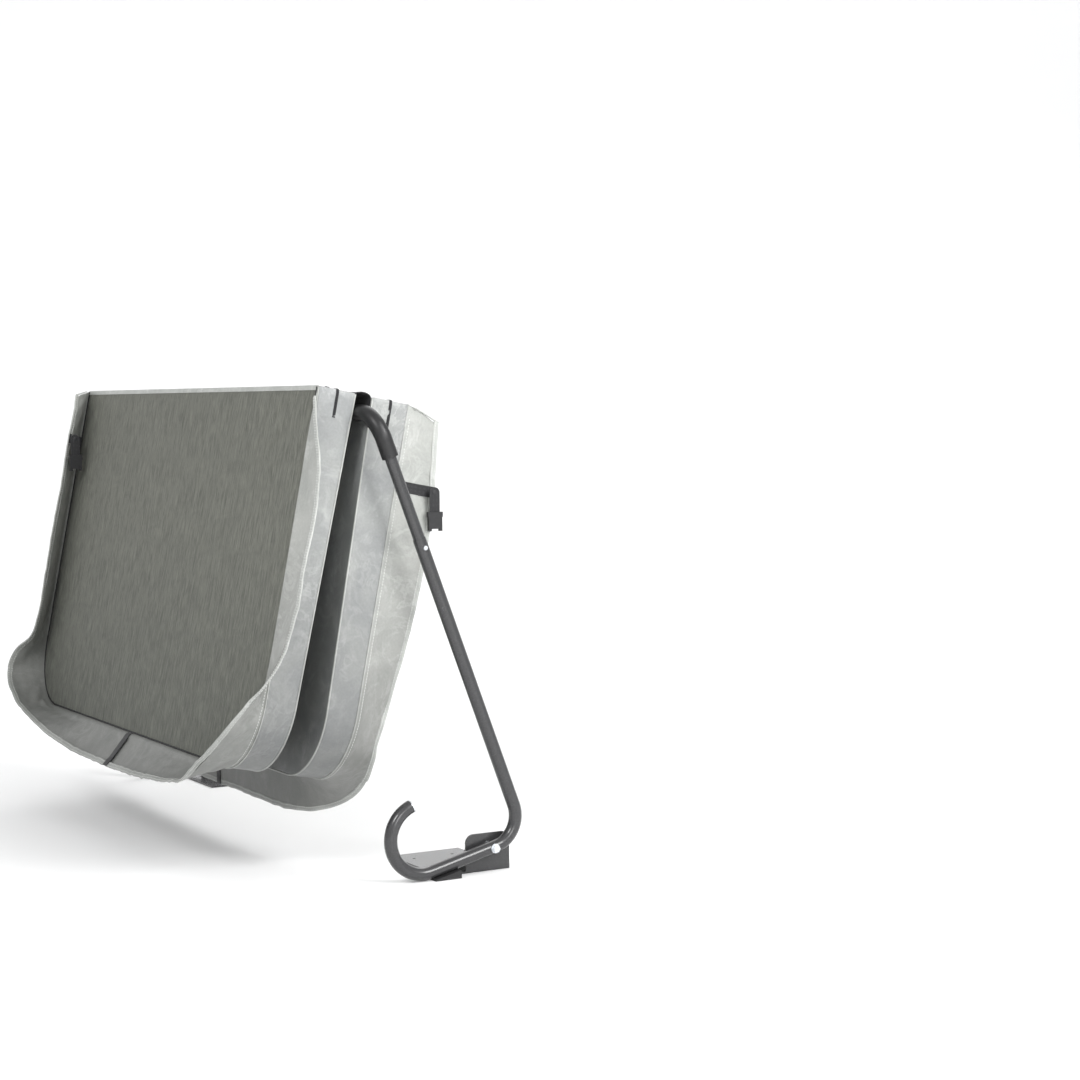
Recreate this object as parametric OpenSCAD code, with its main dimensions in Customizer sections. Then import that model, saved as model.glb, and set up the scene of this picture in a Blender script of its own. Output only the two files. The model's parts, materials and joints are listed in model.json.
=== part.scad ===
// Folding spa cover on a swing-over lifter, parked beside the tub.
// Row frame: X along the crossbar, +Y towards the tub, Z up, floor at Z = 0.
// Flat panel frame: x along the hinge, s from the hinge face to the free edge,
// t from the underside (0) up through the foam; the skirts hang to negative t.

/* [Cover] */
// Length of the cover along the hinge
cover_w = 1860; // [1500:10:2200]
// Length of each half from its hinge face to its free edge
half_l = 1040; // [900:10:1150]
// Foam panel thickness at the hinge
thick_hinge = 110; // [75:5:130]
// Foam panel thickness at the free edge
thick_edge = 85; // [50:5:110]
// Radius of the two free corners of each half
corner_r = 200; // [50:5:300]
// Lean of the hanging cover from vertical, in degrees
lean = 11.5; // [0:0.5:15]
// Distance from the fold's middle plane to each top face at the hinge
fold_half_gap = 24; // [20:1:40]
// Height of the hinge faces above the crossbar's axis
hinge_rise = 48; // [30:1:70]
// Height of the fold axis above the hinge faces
fold_rise = 15; // [5:1:25]

/* [Vinyl and trim] */
// Drop of the skirt below the underside
skirt_drop = 125; // [80:5:160]
// Thickness of the skirt
skirt_t = 3; // [2:0.5:5]
// Thickness of the vinyl skin
skin_t = 2; // [1:0.5:3]
// Thickness of the vapour film
film_t = 1; // [0.5:0.5:2]
// Width of the hem binding
hem_w = 18; // [10:1:30]
// Length the zipper runs down each box end
zip_end = 75; // [40:5:120]
// Run over which the skirt widens from the hinge at its long-cut end
skirt_ramp = 240; // [60:10:400]
// Width of the tie-down webbing
web_w = 30; // [20:1:40]
// Distance of the side straps from the hinge face, front and rear
side_strap_s = [172, 220]; // [100:1:300]

/* [Lifter] */
// Distance from the cover's end to the arm's middle plane
arm_gap = 80; // [70:1:120]
// Outside diameter of the pivot tube and the crossbar
tube_d = 36; // [30:1:42]
// Outside diameter of the corner tube that telescopes in
inner_d = 32; // [26:1:38]
// Wall thickness of the outer tubes
wall = 1.9; // [1.2:0.1:3]
// Height of the pivot above the floor
pivot_z = 68; // [50:1:100]
// Slope of the lower arm above horizontal, in degrees
lower_slope = 13.9; // [5:0.1:25]
// Lean of the upper arm from vertical, in degrees
upper_lean = 20.4; // [10:0.1:30]
// Distance from the pivot to the corner point of the two arm lines
corner_run = 103; // [60:1:150]
// Centreline radius of the lower corner
corner_bend_r = 82; // [60:1:120]
// Distance from the corner point to the crossbar's axis
upper_run = 1241; // [900:1:1400]
// Distance from the corner point to the top end of the pivot tube
telescope_at = 883; // [600:1:1000]
// Distance from the pivot to the start of the foot hook
hook_start = 192.5; // [120:1:250]
// Centreline radius of the foot hook
hook_r = 96.5; // [60:0.5:120]
// Turn of the foot hook, in degrees
hook_turn = 172; // [90:1:180]
// Centreline radius of the bend into the crossbar
top_bend_r = 75; // [60:1:100]
// Outside diameter of the foam sleeve over the bend
sleeve_d = 45; // [40:1:50]
// Length of each sleeve down the arm from the crossbar's axis
sleeve_drop = 125; // [100:5:300]

/* [Base] */
// Thickness of the base plate and ear
plate_t = 5; // [4:1:8]
// Length of the base plate under the tub
plate_in = 300; // [150:10:400]
// Diameter of the pivot bolt
bolt_d = 12; // [8:1:16]

/* [Hidden] */
$fn = 64;

vinyl = [0.66, 0.68, 0.70];
under = [0.30, 0.31, 0.27];
skirt_c = [0.55, 0.57, 0.56];
hem_c = [0.74, 0.75, 0.76];
black = [0.05, 0.05, 0.055];
char = [0.12, 0.12, 0.13];
zinc = [0.75, 0.76, 0.78];

// Distance from the pivot to the row frame's origin along Y.
y_pivot = 348.4;
arm_x = cover_w/2 + arm_gap;
tube_r = tube_d/2;
bore_r = tube_r - wall;
// The crossbar's axis, measured from the pivot's line on the floor.
bar_y = corner_run*cos(lower_slope) - upper_run*sin(upper_lean);
bar_z = pivot_z + corner_run*sin(lower_slope) + upper_run*cos(upper_lean);
turn = 90 - lower_slope + upper_lean;
// Straight left between the pivot and the lower corner, and above that corner.
arc_from = round(100*(corner_run - corner_bend_r*tan(turn/2)))/100;
straight_up = round(telescope_at - corner_bend_r*tan(turn/2));
under_n = fold_half_gap + thick_hinge;

function top_t(s) = thick_hinge + (thick_edge - thick_hinge)*s/half_l;

// ---------- placing ----------

module placed() { translate([0, y_pivot, 0]) children(); }
// Model on the right side, mirrored for the left.
module side(k) { placed() { if (k > 0) children(); else mirror([1, 0, 0]) children(); } }
// Local x, y become the row's Y, Z, and local z becomes X.
module in_plane(x) { translate([x, 0, 0]) rotate([90, 0, 90]) children(); }
// The crossbar's frame: local y runs up the arm.
module arm_frame() { translate([0, bar_y, bar_z]) rotate([90 + upper_lean, 0, 0]) children(); }
// Flat panel frame to the hanging pose, k = 0 for the front half and 1 for the rear.
module hung(k) {
  placed() translate([0, bar_y, bar_z]) rotate([-90 - lean, 0, 0]) rotate([0, 180*k, 0])
    translate([0, -hinge_rise, -under_n]) children();
}
// Where a flat panel point hangs, in the pivot's frame.
function hung_pt(k, x, s, t) =
  let (m = k > 0 ? -1 : 1, ds = s - hinge_rise, dn = m*(t - under_n))
  [m*x, bar_y - sin(lean)*ds + cos(lean)*dn, bar_z - cos(lean)*ds - sin(lean)*dn];

// ---------- tubes ----------

module pipe(r, r_in, h) {
  difference() {
    cylinder(r = r, h = h);
    if (r_in > 0) translate([0, 0, -1]) cylinder(r = r_in, h = h + 2);
  }
}
module bend(bend_r, r, r_in, a0, turn_a) {
  rotate([0, 0, a0]) rotate_extrude(angle = turn_a, $fn = 96) translate([bend_r, 0])
    difference() { circle(r); if (r_in > 0) circle(r_in); }
}
// A straight pipe in the plane from point p along angle a.
module run(p, a, len, r, r_in) {
  translate([p[0], p[1], 0]) rotate([0, 0, a]) rotate([0, 90, 0]) pipe(r, r_in, len);
}

// ---------- base ----------

module bracket() {
  color(char) difference() {
    union() {
      translate([arm_x - 27.5 - plate_in, -150, 0]) cube([plate_in + plate_t, 215, plate_t]);
      translate([arm_x - 24, -150, 0]) cube([50, 42, 4]);
      in_plane(arm_x - 27.5) linear_extrude(plate_t) difference() {
        union() {
          translate([-70, 0]) square([135, 80]);
          translate([-45, 75]) square([85, 30]);
          for (y = [-45, 40]) translate([y, 80]) circle(25);
        }
        translate([0, pivot_z]) circle(bolt_d/2 + 0.05);
      }
    }
    for (x = [90, 230], y = [-110, 10]) translate([arm_x - 27.5 - x, y, -1]) cylinder(r = 4.5, h = 10);
  }
}
module gussets() {
  color(char) for (y = [-66, 57]) translate([arm_x - 27.5, y + 4, plate_t]) rotate([90, 0, 0])
    linear_extrude(4) polygon([[0, 0], [-48, 0], [-48, 6], [-6, 62], [0, 62]]);
}
module stop_pad() {
  k = tan(lower_slope);
  rest = tube_r/cos(lower_slope) + 0.3;
  z_at = function(y) pivot_z + k*y - rest;
  color(black) in_plane(arm_x - 20) linear_extrude(46)
    polygon([[-187, 0], [-187, z_at(-187)], [-108.5, z_at(-108.5)], [-108.5, 4], [-150, 4], [-150, 0]]);
}
module pivot_bolt() {
  color(zinc) placed_pivot() {
    translate([0, 0, -44]) cylinder(r = bolt_d/2, h = 44 + tube_r + 2.5);
    translate([0, 0, tube_r + 2.3]) cylinder(r = 11, h = 7.5, $fn = 6);
    translate([0, 0, tube_r + 9.7]) cylinder(r = 8, h = 0.8);
  }
}
module placed_pivot() { in_plane(arm_x) translate([0, pivot_z, 0]) children(); }
module pivot_nut() {
  color(zinc) placed_pivot() difference() {
    translate([0, 0, -37.5]) cylinder(r = 11, h = 10, $fn = 6);
    translate([0, 0, -38]) cylinder(r = bolt_d/2, h = 12);
  }
}
module pivot_washers() {
  color(zinc) placed_pivot() {
    translate([0, 0, tube_r + 0.2]) pipe(13, bolt_d/2, 2.1);
    translate([0, 0, -22.5]) pipe(13, bolt_d/2, 22.5 - tube_r - 0.2);
  }
}

// ---------- lifter ----------

// Foot hook, lower arm, lower corner and the lower length of the upper arm, along the arm's own frame.
// The four lengths butt at hairline welds.
module pivot_tube() {
  w = 0.01;
  color(char) placed_pivot() rotate([0, 0, lower_slope]) {
    translate([-hook_start, hook_r, 0]) bend(hook_r, tube_r, bore_r, -90 - hook_turn, hook_turn);
    difference() {
      run([-hook_start + w, 0], 0, hook_start + arc_from - 2*w, tube_r, bore_r);
      translate([0, 0, -tube_r - 1]) cylinder(r = 9, h = tube_d + 2);
    }
    translate([arc_from, corner_bend_r, 0]) {
      bend(corner_bend_r, tube_r, bore_r, -90, turn);
      rotate([0, 0, turn]) difference() {
        run([w, -corner_bend_r], 0, straight_up - w, tube_r, bore_r);
        translate([straight_up - 26, -corner_bend_r, bore_r - 4]) cylinder(r = 3.4, h = 14);
      }
    }
  }
}
// Frame of a screw through the outer wall, dist below the telescope's end.
module screw_at(dist) {
  arm_frame() translate([arm_x, -(upper_run - telescope_at + dist), 0])
    translate([bore_r - 4, 0, 0]) rotate([0, 90, 0]) children();
}
module corner_tube() {
  low = upper_run - telescope_at + 150;
  color(char) difference() {
    arm_frame() {
      translate([arm_x, -low, 0]) rotate([-90, 0, 0]) pipe(inner_d/2, inner_d/2 - 1.6, low - top_bend_r);
      translate([arm_x - top_bend_r, -top_bend_r, 0]) bend(top_bend_r, inner_d/2, inner_d/2 - 1.6, 0, 90);
      translate([arm_x - top_bend_r - 145, 0, 0]) rotate([0, 90, 0]) pipe(inner_d/2, inner_d/2 - 1.6, 145);
    }
    screw_at(26) cylinder(r = 3, h = 14);
    bar_screw() cylinder(r = 3, h = 14);
  }
}
// Frame of the screw under the crossbar's end.
module bar_screw() {
  arm_frame() translate([cover_w/2 - 80, 0, 0]) rotate([-lean - upper_lean, 0, 0])
    translate([0, -(bore_r - 4), 0]) rotate([90, 0, 0]) children();
}
module bend_sleeve() {
  color(black) arm_frame() {
    translate([arm_x, -sleeve_drop, 0]) rotate([-90, 0, 0])
      pipe(sleeve_d/2, inner_d/2, sleeve_drop - top_bend_r);
    translate([arm_x - top_bend_r, -top_bend_r, 0]) bend(top_bend_r, sleeve_d/2, inner_d/2, 0, 90);
    translate([cover_w/2 - 24, 0, 0]) rotate([0, 90, 0])
      pipe(sleeve_d/2, inner_d/2, arm_gap - top_bend_r + 24);
  }
}
module end_plug() {
  a = lower_slope - 90 - hook_turn;
  c2 = [-hook_start*cos(lower_slope) - hook_r*sin(lower_slope),
        -hook_start*sin(lower_slope) + hook_r*cos(lower_slope)];
  color(zinc) placed_pivot() translate([c2[0], c2[1], 0]) rotate([0, 0, a]) translate([hook_r, 0, 0])
    rotate([90, 0, 0]) {
      pipe(tube_r, tube_r - 6, 3);
      translate([0, 0, 1]) cylinder(r = tube_r - 5, h = 0.8);
    }
}
module bushing() { color(black) placed_pivot() translate([0, 0, -tube_r]) pipe(9, bolt_d/2 + 0.05, tube_d); }
module crossbar_tube() {
  color(char) placed() difference() {
    arm_frame() translate([-cover_w/2 + 30, 0, 0]) rotate([0, 90, 0]) pipe(tube_r, bore_r, cover_w - 60);
    for (m = [0, 1]) mirror([m, 0, 0]) bar_screw() cylinder(r = 3, h = 14);
  }
}
module screw() {
  cylinder(r = 2.95, h = 8);
  translate([0, 0, wall + 4.15]) cylinder(r = 6, h = 2.85);
}
module joint_screws() {
  color(zinc) placed() for (m = [0, 1]) mirror([m, 0, 0]) { screw_at(26) screw(); bar_screw() screw(); }
}

// ---------- cover halves, in the flat panel frame ----------

module outline(i = 0, s0 = 0) {
  translate([-cover_w/2 + i, s0]) square([cover_w - 2*i, half_l - corner_r - s0]);
  translate([-cover_w/2 + corner_r, half_l - corner_r - 1])
    square([cover_w - 2*corner_r, corner_r - i + 1]);
  for (k = [-1, 1]) translate([k*(cover_w/2 - corner_r), half_l - corner_r]) circle(corner_r - i, $fn = 96);
}
// Tapered slab of the plan outline, inset by i, from height tb to dtop below the top face.
module slab(i, s0, tb, dtop) {
  intersection() {
    translate([0, 0, tb]) linear_extrude(thick_hinge) outline(i, s0);
    translate([-cover_w/2 - 1, 0, 0]) rotate([90, 0, 90]) linear_extrude(cover_w + 2)
      polygon([[-5, tb], [half_l + 5, tb], [half_l + 5, top_t(half_l + 5) - dtop], [-5, top_t(-5) - dtop]]);
  }
}
module channel() {
  e = skin_t + film_t;
  intersection() {
    difference() { slab(e, e, e, e); slab(0, e + 1.2, e + 1.2, e + 1.2); }
    translate([-cover_w/2 + 25, 0, 0]) cube([cover_w - 50, 62, thick_hinge]);
  }
}
module core() {
  e = skin_t + film_t;
  color([0.93, 0.93, 0.92]) difference() { slab(e, e, e, e); channel(); }
}
module vapour_film() {
  e = skin_t + film_t;
  color([0.82, 0.84, 0.86]) difference() { slab(skin_t, skin_t, skin_t, skin_t); slab(e, e, e, e); }
}
module hinge_channel() { color([0.72, 0.74, 0.76]) channel(); }
module skin() {
  color(vinyl) difference() { slab(0, 0, skin_t, 0); slab(skin_t, skin_t, -2, skin_t); }
}
module lining() { color(under) linear_extrude(skin_t) outline(); }
// Distance along the three skirted sides, from the hinge corner at +x round to the one at -x.
leg = half_l - corner_r;
arc_len = PI/2*corner_r;
per_len = 2*leg + 2*arc_len + cover_w - 2*corner_r;
mid_p = per_len/2;
// Outward heading of the edge at distance p, in degrees.
function head(p) =
  p < leg ? 0 : p < leg + arc_len ? (p - leg)/corner_r*180/PI :
  p < per_len - leg - arc_len ? 90 : p < per_len - leg ? 180 - (per_len - leg - p)/corner_r*180/PI : 180;
function edge_pt(p) =
  p < leg ? [cover_w/2, p] :
  p < leg + arc_len ? [cover_w/2 - corner_r, leg] + corner_r*[cos(head(p)), sin(head(p))] :
  p < per_len - leg - arc_len ? [cover_w/2 - corner_r - (p - leg - arc_len), half_l] :
  p < per_len - leg ? [corner_r - cover_w/2, leg] + corner_r*[cos(head(p)), sin(head(p))] :
  [-cover_w/2, per_len - p];
// How far the skirt flares out (+) or folds in (-) from square, in degrees, front and rear.
flare = [
  [[0, 50], [200, 57], [700, 57], [780, 57], [820, 52], [850, 48], [900, 28], [950, 15], [1000, 8],
   [1060, 6], [1110, 14], [1150, 24], [1200, 33], [1300, 38], [1400, 44], [1500, 50], [1650, 58],
   [1850, 62], [2080, 62], [2200, 56], [2300, 43], [2400, 34], [2500, 21], [2600, 8], [2700, 1],
   [2800, 10], [2860, -18], [2930, -50], [3000, -56], [3800, -56]],
  [[0, 8], [400, 5], [840, 0], [950, 14], [1150, 50], [1350, 74], [1884, 78], [2300, 78], [2400, 74],
   [2500, 58], [2600, 30], [2700, -8], [2800, -27], [2900, -30], [3000, -24], [3100, -16], [3200, -8],
   [3300, -2], [3400, 1], [3500, -3], [3600, -12], [3700, -20], [3800, -24]]
];
// Point on the skirt: p along the edge, r down from the seam, off across its thickness.
function skirt_pt(k, p, r, off = 0) =
  let (a = lookup(p, flare[k]), h = head(p), o = [cos(h), sin(h)], e = edge_pt(p) - skirt_t/2*o)
  [each (e + (r*sin(a) + off*cos(a))*o), -skirt_t/2 - 0.1 - r*cos(a) + off*sin(a)];
function skirt_w(p) = skirt_drop*min(1, 0.06 + p/skirt_ramp, 0.04 + (per_len - p)/26);
// Closed sheet over part of the skirt, between two offsets; r0 and r1 are functions of p.
module skirt_patch(k, ps, r0, r1, off0, off1, nq = 2) {
  n = len(ps);
  m = nq + 1;
  v = [for (o = [off0, off1], p = ps, j = [0:nq]) skirt_pt(k, p, r0(p) + (r1(p) - r0(p))*j/nq, o)];
  at = function(o, i, j) (o*n + i)*m + j;
  quads = [
    each [for (i = [0:n - 2], j = [0:nq - 1]) [at(0, i, j), at(0, i + 1, j), at(0, i + 1, j + 1), at(0, i, j + 1)]],
    each [for (i = [0:n - 2], j = [0:nq - 1]) [at(1, i, j), at(1, i, j + 1), at(1, i + 1, j + 1), at(1, i + 1, j)]],
    each [for (i = [0:n - 2]) [at(0, i, 0), at(1, i, 0), at(1, i + 1, 0), at(0, i + 1, 0)]],
    each [for (i = [0:n - 2]) [at(0, i, nq), at(0, i + 1, nq), at(1, i + 1, nq), at(1, i, nq)]],
    each [for (j = [0:nq - 1]) [at(0, 0, j), at(0, 0, j + 1), at(1, 0, j + 1), at(1, 0, j)]],
    each [for (j = [0:nq - 1]) [at(0, n - 1, j), at(1, n - 1, j), at(1, n - 1, j + 1), at(0, n - 1, j + 1)]]
  ];
  polyhedron(v, [for (q = quads) each [[q[0], q[2], q[1]], [q[0], q[3], q[2]]]], convexity = 10);
}
skirt_ps = [
  each [for (i = [0:14]) 2 + (leg - 2)*i/14], each [for (i = [1:8]) leg + arc_len*i/8],
  each [for (i = [1:24]) leg + arc_len + (cover_w - 2*corner_r)*i/24],
  each [for (i = [1:8]) per_len - leg - arc_len + arc_len*i/8],
  each [for (i = [1:13]) per_len - leg + (leg - 28)*i/13], per_len - 2
];
function hem_at(p) = max(skirt_w(p) - hem_w, 0.5);
module skirt(k) {
  color(skirt_c) skirt_patch(k, skirt_ps, function(p) 0, function(p) hem_at(p), -skirt_t/2, skirt_t/2);
}
module hem(k) {
  h = skirt_t/2 + 0.8;
  color(hem_c) skirt_patch(k, skirt_ps, function(p) hem_at(p) + 0.2, function(p) skirt_w(p), -h, h, 1);
}
// A band round the hinge face and both ends, standing proud by p and w wide.
module zip_band(p, w) {
  translate([0, 0, thick_hinge/2 - w/2]) linear_extrude(w) difference() {
    translate([-cover_w/2 - p, -p]) square([cover_w + 2*p, zip_end + p]);
    translate([-cover_w/2, 0]) square([cover_w, zip_end + 1]);
  }
}
module zipper() { color(black) union() { zip_band(1.2, 12); zip_band(2.6, 6); } }
module zip_slider() {
  color(black) translate([cover_w/2 - 70, 0, thick_hinge/2]) difference() {
    union() {
      translate([-11, -5.2, -7]) cube([22, 3.9, 14]);
      for (z = [-5, 3]) translate([-4, -8.6, z]) cube([8, 3.5, 2]);
      translate([0, -7, -5]) cylinder(r = 0.9, h = 10, $fn = 32);
    }
    translate([-12, -2.8, -3.2]) cube([24, 3, 6.4]);
  }
}
module zip_pull() {
  color(black) translate([cover_w/2 - 70, -7, thick_hinge/2]) {
    pipe_c(1.7, 0.95, 5.6);
    translate([-17, -0.8, -4]) difference() {
      union() { cube([12, 1.6, 8]); translate([11, 0, 1.5]) cube([4.6, 1.6, 5]); }
      translate([3, -1, 2.4]) cube([5, 4, 3.2]);
    }
  }
}
module pipe_c(r, r_in, h) { translate([0, 0, -h/2]) pipe(r, r_in, h); }
// Webbing sewn from the lining's seam over the skirt: inside it for the front half, outside for the rear.
band_off = [-4.7, 3.1];
side_p = [per_len - side_strap_s[0], per_len - side_strap_s[1]];
pin_r = skirt_drop - 13;
pin_len = [20, 24];
// Where the side tail turns: the pin runs along x from here, inwards on the front, outwards on the rear.
function pin_pt(k) = skirt_pt(k, side_p[k], pin_r, band_off[k] + 0.75);
module strap_bands(k) {
  b = band_off[k];
  color(black) {
    for (c = [side_p[k], mid_p])
      skirt_patch(k, [c - web_w/2, c, c + web_w/2], function(p) 4, function(p) skirt_drop - 1, b, b + 1.5);
    translate(pin_pt(k)) rotate([0, k > 0 ? -90 : 90, 0]) {
      cylinder(r = 3, h = pin_len[k] + 1.5);
      translate([0, 0, pin_len[k] + 1]) cylinder(r = 6, h = 1);
    }
  }
}
// Fabric that joins the two halves over the fold, and the loops that carry the crossbar.
module across(w, x) {
  placed() translate([x - w/2, bar_y, bar_z]) rotate([-lean, 0, 0]) rotate([90, 0, 90]) linear_extrude(w) children();
}
module hinge_strip() {
  g = fold_half_gap;
  top = hinge_rise + 11;
  color(black) across(cover_w - 16, 0) difference() {
    union() {
      translate([-g, hinge_rise - 26]) square([2*g, 26 + 11 - g/2]);
      translate([0, top - g/2 - 1]) intersection() {
        translate([0, -g + g/2 + 1]) circle(g);
        translate([-g, -1]) square([2*g, g + 2]);
      }
    }
    translate([-g + 1.5, hinge_rise - 30]) square([2*g - 3, 30 + 9.5 - g/2]);
    intersection() {
      translate([0, top - g]) circle(g - 1.5);
      translate([-g, hinge_rise - 4]) square([2*g, 40]);
    }
  }
}
module bar_loops() {
  r = tube_r + 0.05;
  g = fold_half_gap;
  color(black) for (x = [-600, 0, 600]) across(60, x) difference() {
    union() {
      circle(r + 2);
      translate([0, -r - 2]) square([g, 2*r + 4]);
      translate([g - 2 , -r - 24]) square([2, r + 26]);
    }
    circle(r);
    translate([0, -r]) square([g - 2, 2*r]);
    translate([g - 2.1, -r]) square([3, 2*r]);
  }
}

// ---------- loose strap tails, hanging plumb ----------

// Middle of the side tail's webbing, hanging from its pin, in the pivot's frame.
function side_hang(k) = let (q = pin_pt(k), d = (k > 0 ? -1 : 1)*(pin_len[k] - 1)) hung_pt(k, q[0] + d, q[1], q[2]);
module side_tail(k) {
  color(black) placed() translate(side_hang(k)) translate([-0.8, 0, 0]) rotate([90, 0, 90]) linear_extrude(1.6)
    difference() {
      union() { translate([-web_w/2, -58]) square([web_w, 58]); circle(web_w/2); }
      circle(3.05);
    }
}
// Side-release buckle half, hanging below the webbing's end; local y is its width, z up.
module buckle_shape(th) {
  difference() {
    union() {
      translate([-th/2, -20, -46]) cube([th, 40, 34]);
      translate([-th/2, -22, -14]) cube([th, 44, 14]);
      for (y = [-20, 12]) translate([-th/2, y, -52]) cube([th, 8, 8]);
    }
    translate([-1.4, -16, -9]) cube([2.8, 32, 12]);
    translate([-th/2 + 3, -14, -50]) cube([th - 6, 28, 34]);
  }
}
module side_buckle(k) {
  color(black) placed() translate(side_hang(k)) translate([0, 0, -52]) buckle_shape(10);
}

// ---------- one module per sub-part ----------

module right_bracket() { side(1) bracket(); }
module left_bracket() { side(-1) bracket(); }
module right_gussets() { side(1) gussets(); }
module left_gussets() { side(-1) gussets(); }
module right_stop_pad() { side(1) stop_pad(); }
module left_stop_pad() { side(-1) stop_pad(); }
module right_pivot_bolt() { side(1) pivot_bolt(); }
module left_pivot_bolt() { side(-1) pivot_bolt(); }
module right_pivot_nut() { side(1) pivot_nut(); }
module left_pivot_nut() { side(-1) pivot_nut(); }
module right_pivot_washers() { side(1) pivot_washers(); }
module left_pivot_washers() { side(-1) pivot_washers(); }
module right_pivot_tube() { side(1) pivot_tube(); }
module left_pivot_tube() { side(-1) pivot_tube(); }
module right_corner_tube() { side(1) corner_tube(); }
module left_corner_tube() { side(-1) corner_tube(); }
module right_bend_sleeve() { side(1) bend_sleeve(); }
module left_bend_sleeve() { side(-1) bend_sleeve(); }
module right_end_plug() { side(1) end_plug(); }
module left_end_plug() { side(-1) end_plug(); }
module right_bushing() { side(1) bushing(); }
module left_bushing() { side(-1) bushing(); }
module rear_core() { hung(1) core(); }
module front_core() { hung(0) core(); }
module rear_vapour_film() { hung(1) vapour_film(); }
module front_vapour_film() { hung(0) vapour_film(); }
module rear_hinge_channel() { hung(1) hinge_channel(); }
module front_hinge_channel() { hung(0) hinge_channel(); }
module rear_skin() { hung(1) skin(); }
module front_skin() { hung(0) skin(); }
module rear_lining() { hung(1) lining(); }
module front_lining() { hung(0) lining(); }
module rear_skirt() { hung(1) skirt(1); }
module front_skirt() { hung(0) skirt(0); }
module rear_hem() { hung(1) hem(1); }
module front_hem() { hung(0) hem(0); }
module rear_zipper() { hung(1) zipper(); }
module front_zipper() { hung(0) zipper(); }
module rear_zip_slider() { hung(1) zip_slider(); }
module front_zip_slider() { hung(0) zip_slider(); }
module rear_zip_pull() { hung(1) zip_pull(); }
module front_zip_pull() { hung(0) zip_pull(); }
module rear_strap_bands() { hung(1) strap_bands(1); }
module front_strap_bands() { hung(0) strap_bands(0); }
module rear_side_tail() { side_tail(1); }
module front_side_tail() { side_tail(0); }
module rear_side_buckle() { side_buckle(1); }
module front_side_buckle() { side_buckle(0); }

right_bracket();
right_gussets();
right_stop_pad();
right_pivot_bolt();
right_pivot_nut();
right_pivot_washers();
left_bracket();
left_gussets();
left_stop_pad();
left_pivot_bolt();
left_pivot_nut();
left_pivot_washers();
right_pivot_tube();
right_corner_tube();
right_bend_sleeve();
right_end_plug();
right_bushing();
left_pivot_tube();
left_corner_tube();
left_bend_sleeve();
left_end_plug();
left_bushing();
crossbar_tube();
joint_screws();
rear_core();
rear_vapour_film();
rear_hinge_channel();
rear_skin();
rear_lining();
rear_skirt();
rear_hem();
rear_zipper();
rear_strap_bands();
hinge_strip();
bar_loops();
front_core();
front_vapour_film();
front_hinge_channel();
front_skin();
front_lining();
front_skirt();
front_hem();
front_zipper();
front_strap_bands();
rear_zip_slider();
rear_zip_pull();
front_zip_slider();
front_zip_pull();
rear_side_tail();
rear_side_buckle();
front_side_tail();
front_side_buckle();
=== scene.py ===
import json
import logging
import math
from dataclasses import dataclass, field
from enum import Enum

import bmesh
import bpy
import numpy as np
from mathutils import Matrix, Vector


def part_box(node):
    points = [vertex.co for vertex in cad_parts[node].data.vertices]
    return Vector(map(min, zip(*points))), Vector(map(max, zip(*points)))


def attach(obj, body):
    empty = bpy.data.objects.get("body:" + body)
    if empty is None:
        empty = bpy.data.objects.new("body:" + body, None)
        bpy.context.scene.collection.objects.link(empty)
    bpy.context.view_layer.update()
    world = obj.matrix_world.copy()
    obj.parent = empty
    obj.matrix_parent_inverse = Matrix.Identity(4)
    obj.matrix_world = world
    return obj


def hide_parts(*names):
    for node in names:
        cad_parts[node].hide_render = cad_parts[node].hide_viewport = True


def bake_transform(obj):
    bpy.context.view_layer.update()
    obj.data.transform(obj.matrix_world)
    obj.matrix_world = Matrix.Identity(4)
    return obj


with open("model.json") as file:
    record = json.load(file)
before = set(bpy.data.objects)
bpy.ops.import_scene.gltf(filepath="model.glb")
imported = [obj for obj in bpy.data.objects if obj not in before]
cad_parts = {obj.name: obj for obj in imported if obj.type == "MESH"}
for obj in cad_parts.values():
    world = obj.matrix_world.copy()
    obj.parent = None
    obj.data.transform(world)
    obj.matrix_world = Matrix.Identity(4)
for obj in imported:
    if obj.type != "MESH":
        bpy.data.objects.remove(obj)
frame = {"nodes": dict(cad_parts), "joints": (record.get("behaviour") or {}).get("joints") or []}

logging.basicConfig(level=logging.INFO, format="%(message)s")
log = logging.getLogger("spa_cover")

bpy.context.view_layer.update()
Array = np.ndarray
Socket = bpy.types.NodeSocket
Colour = tuple[float, float, float]
Place = tuple[float, float, float]


class Half(Enum):
    """Which folding half of the cover a piece belongs to."""

    FRONT = 0
    REAR = 1

    @property
    def word(self) -> str:
        """The half's name as the bodies spell it."""
        return self.name.lower()


class Face(Enum):
    """The side of the skirt a strap is sewn to."""

    INNER = -1
    OUTER = 1


def srgb(red: float, green: float, blue: float) -> Colour:
    """Linear colour of a screen colour given in 0 to 255 steps."""
    c = np.array([red, green, blue]) / 255.0
    out = np.where(c <= 0.04045, c / 12.92, ((c + 0.055) / 1.055) ** 2.4)
    return float(out[0]), float(out[1]), float(out[2])


# ---------------------------------------------------------------- finishes


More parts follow.
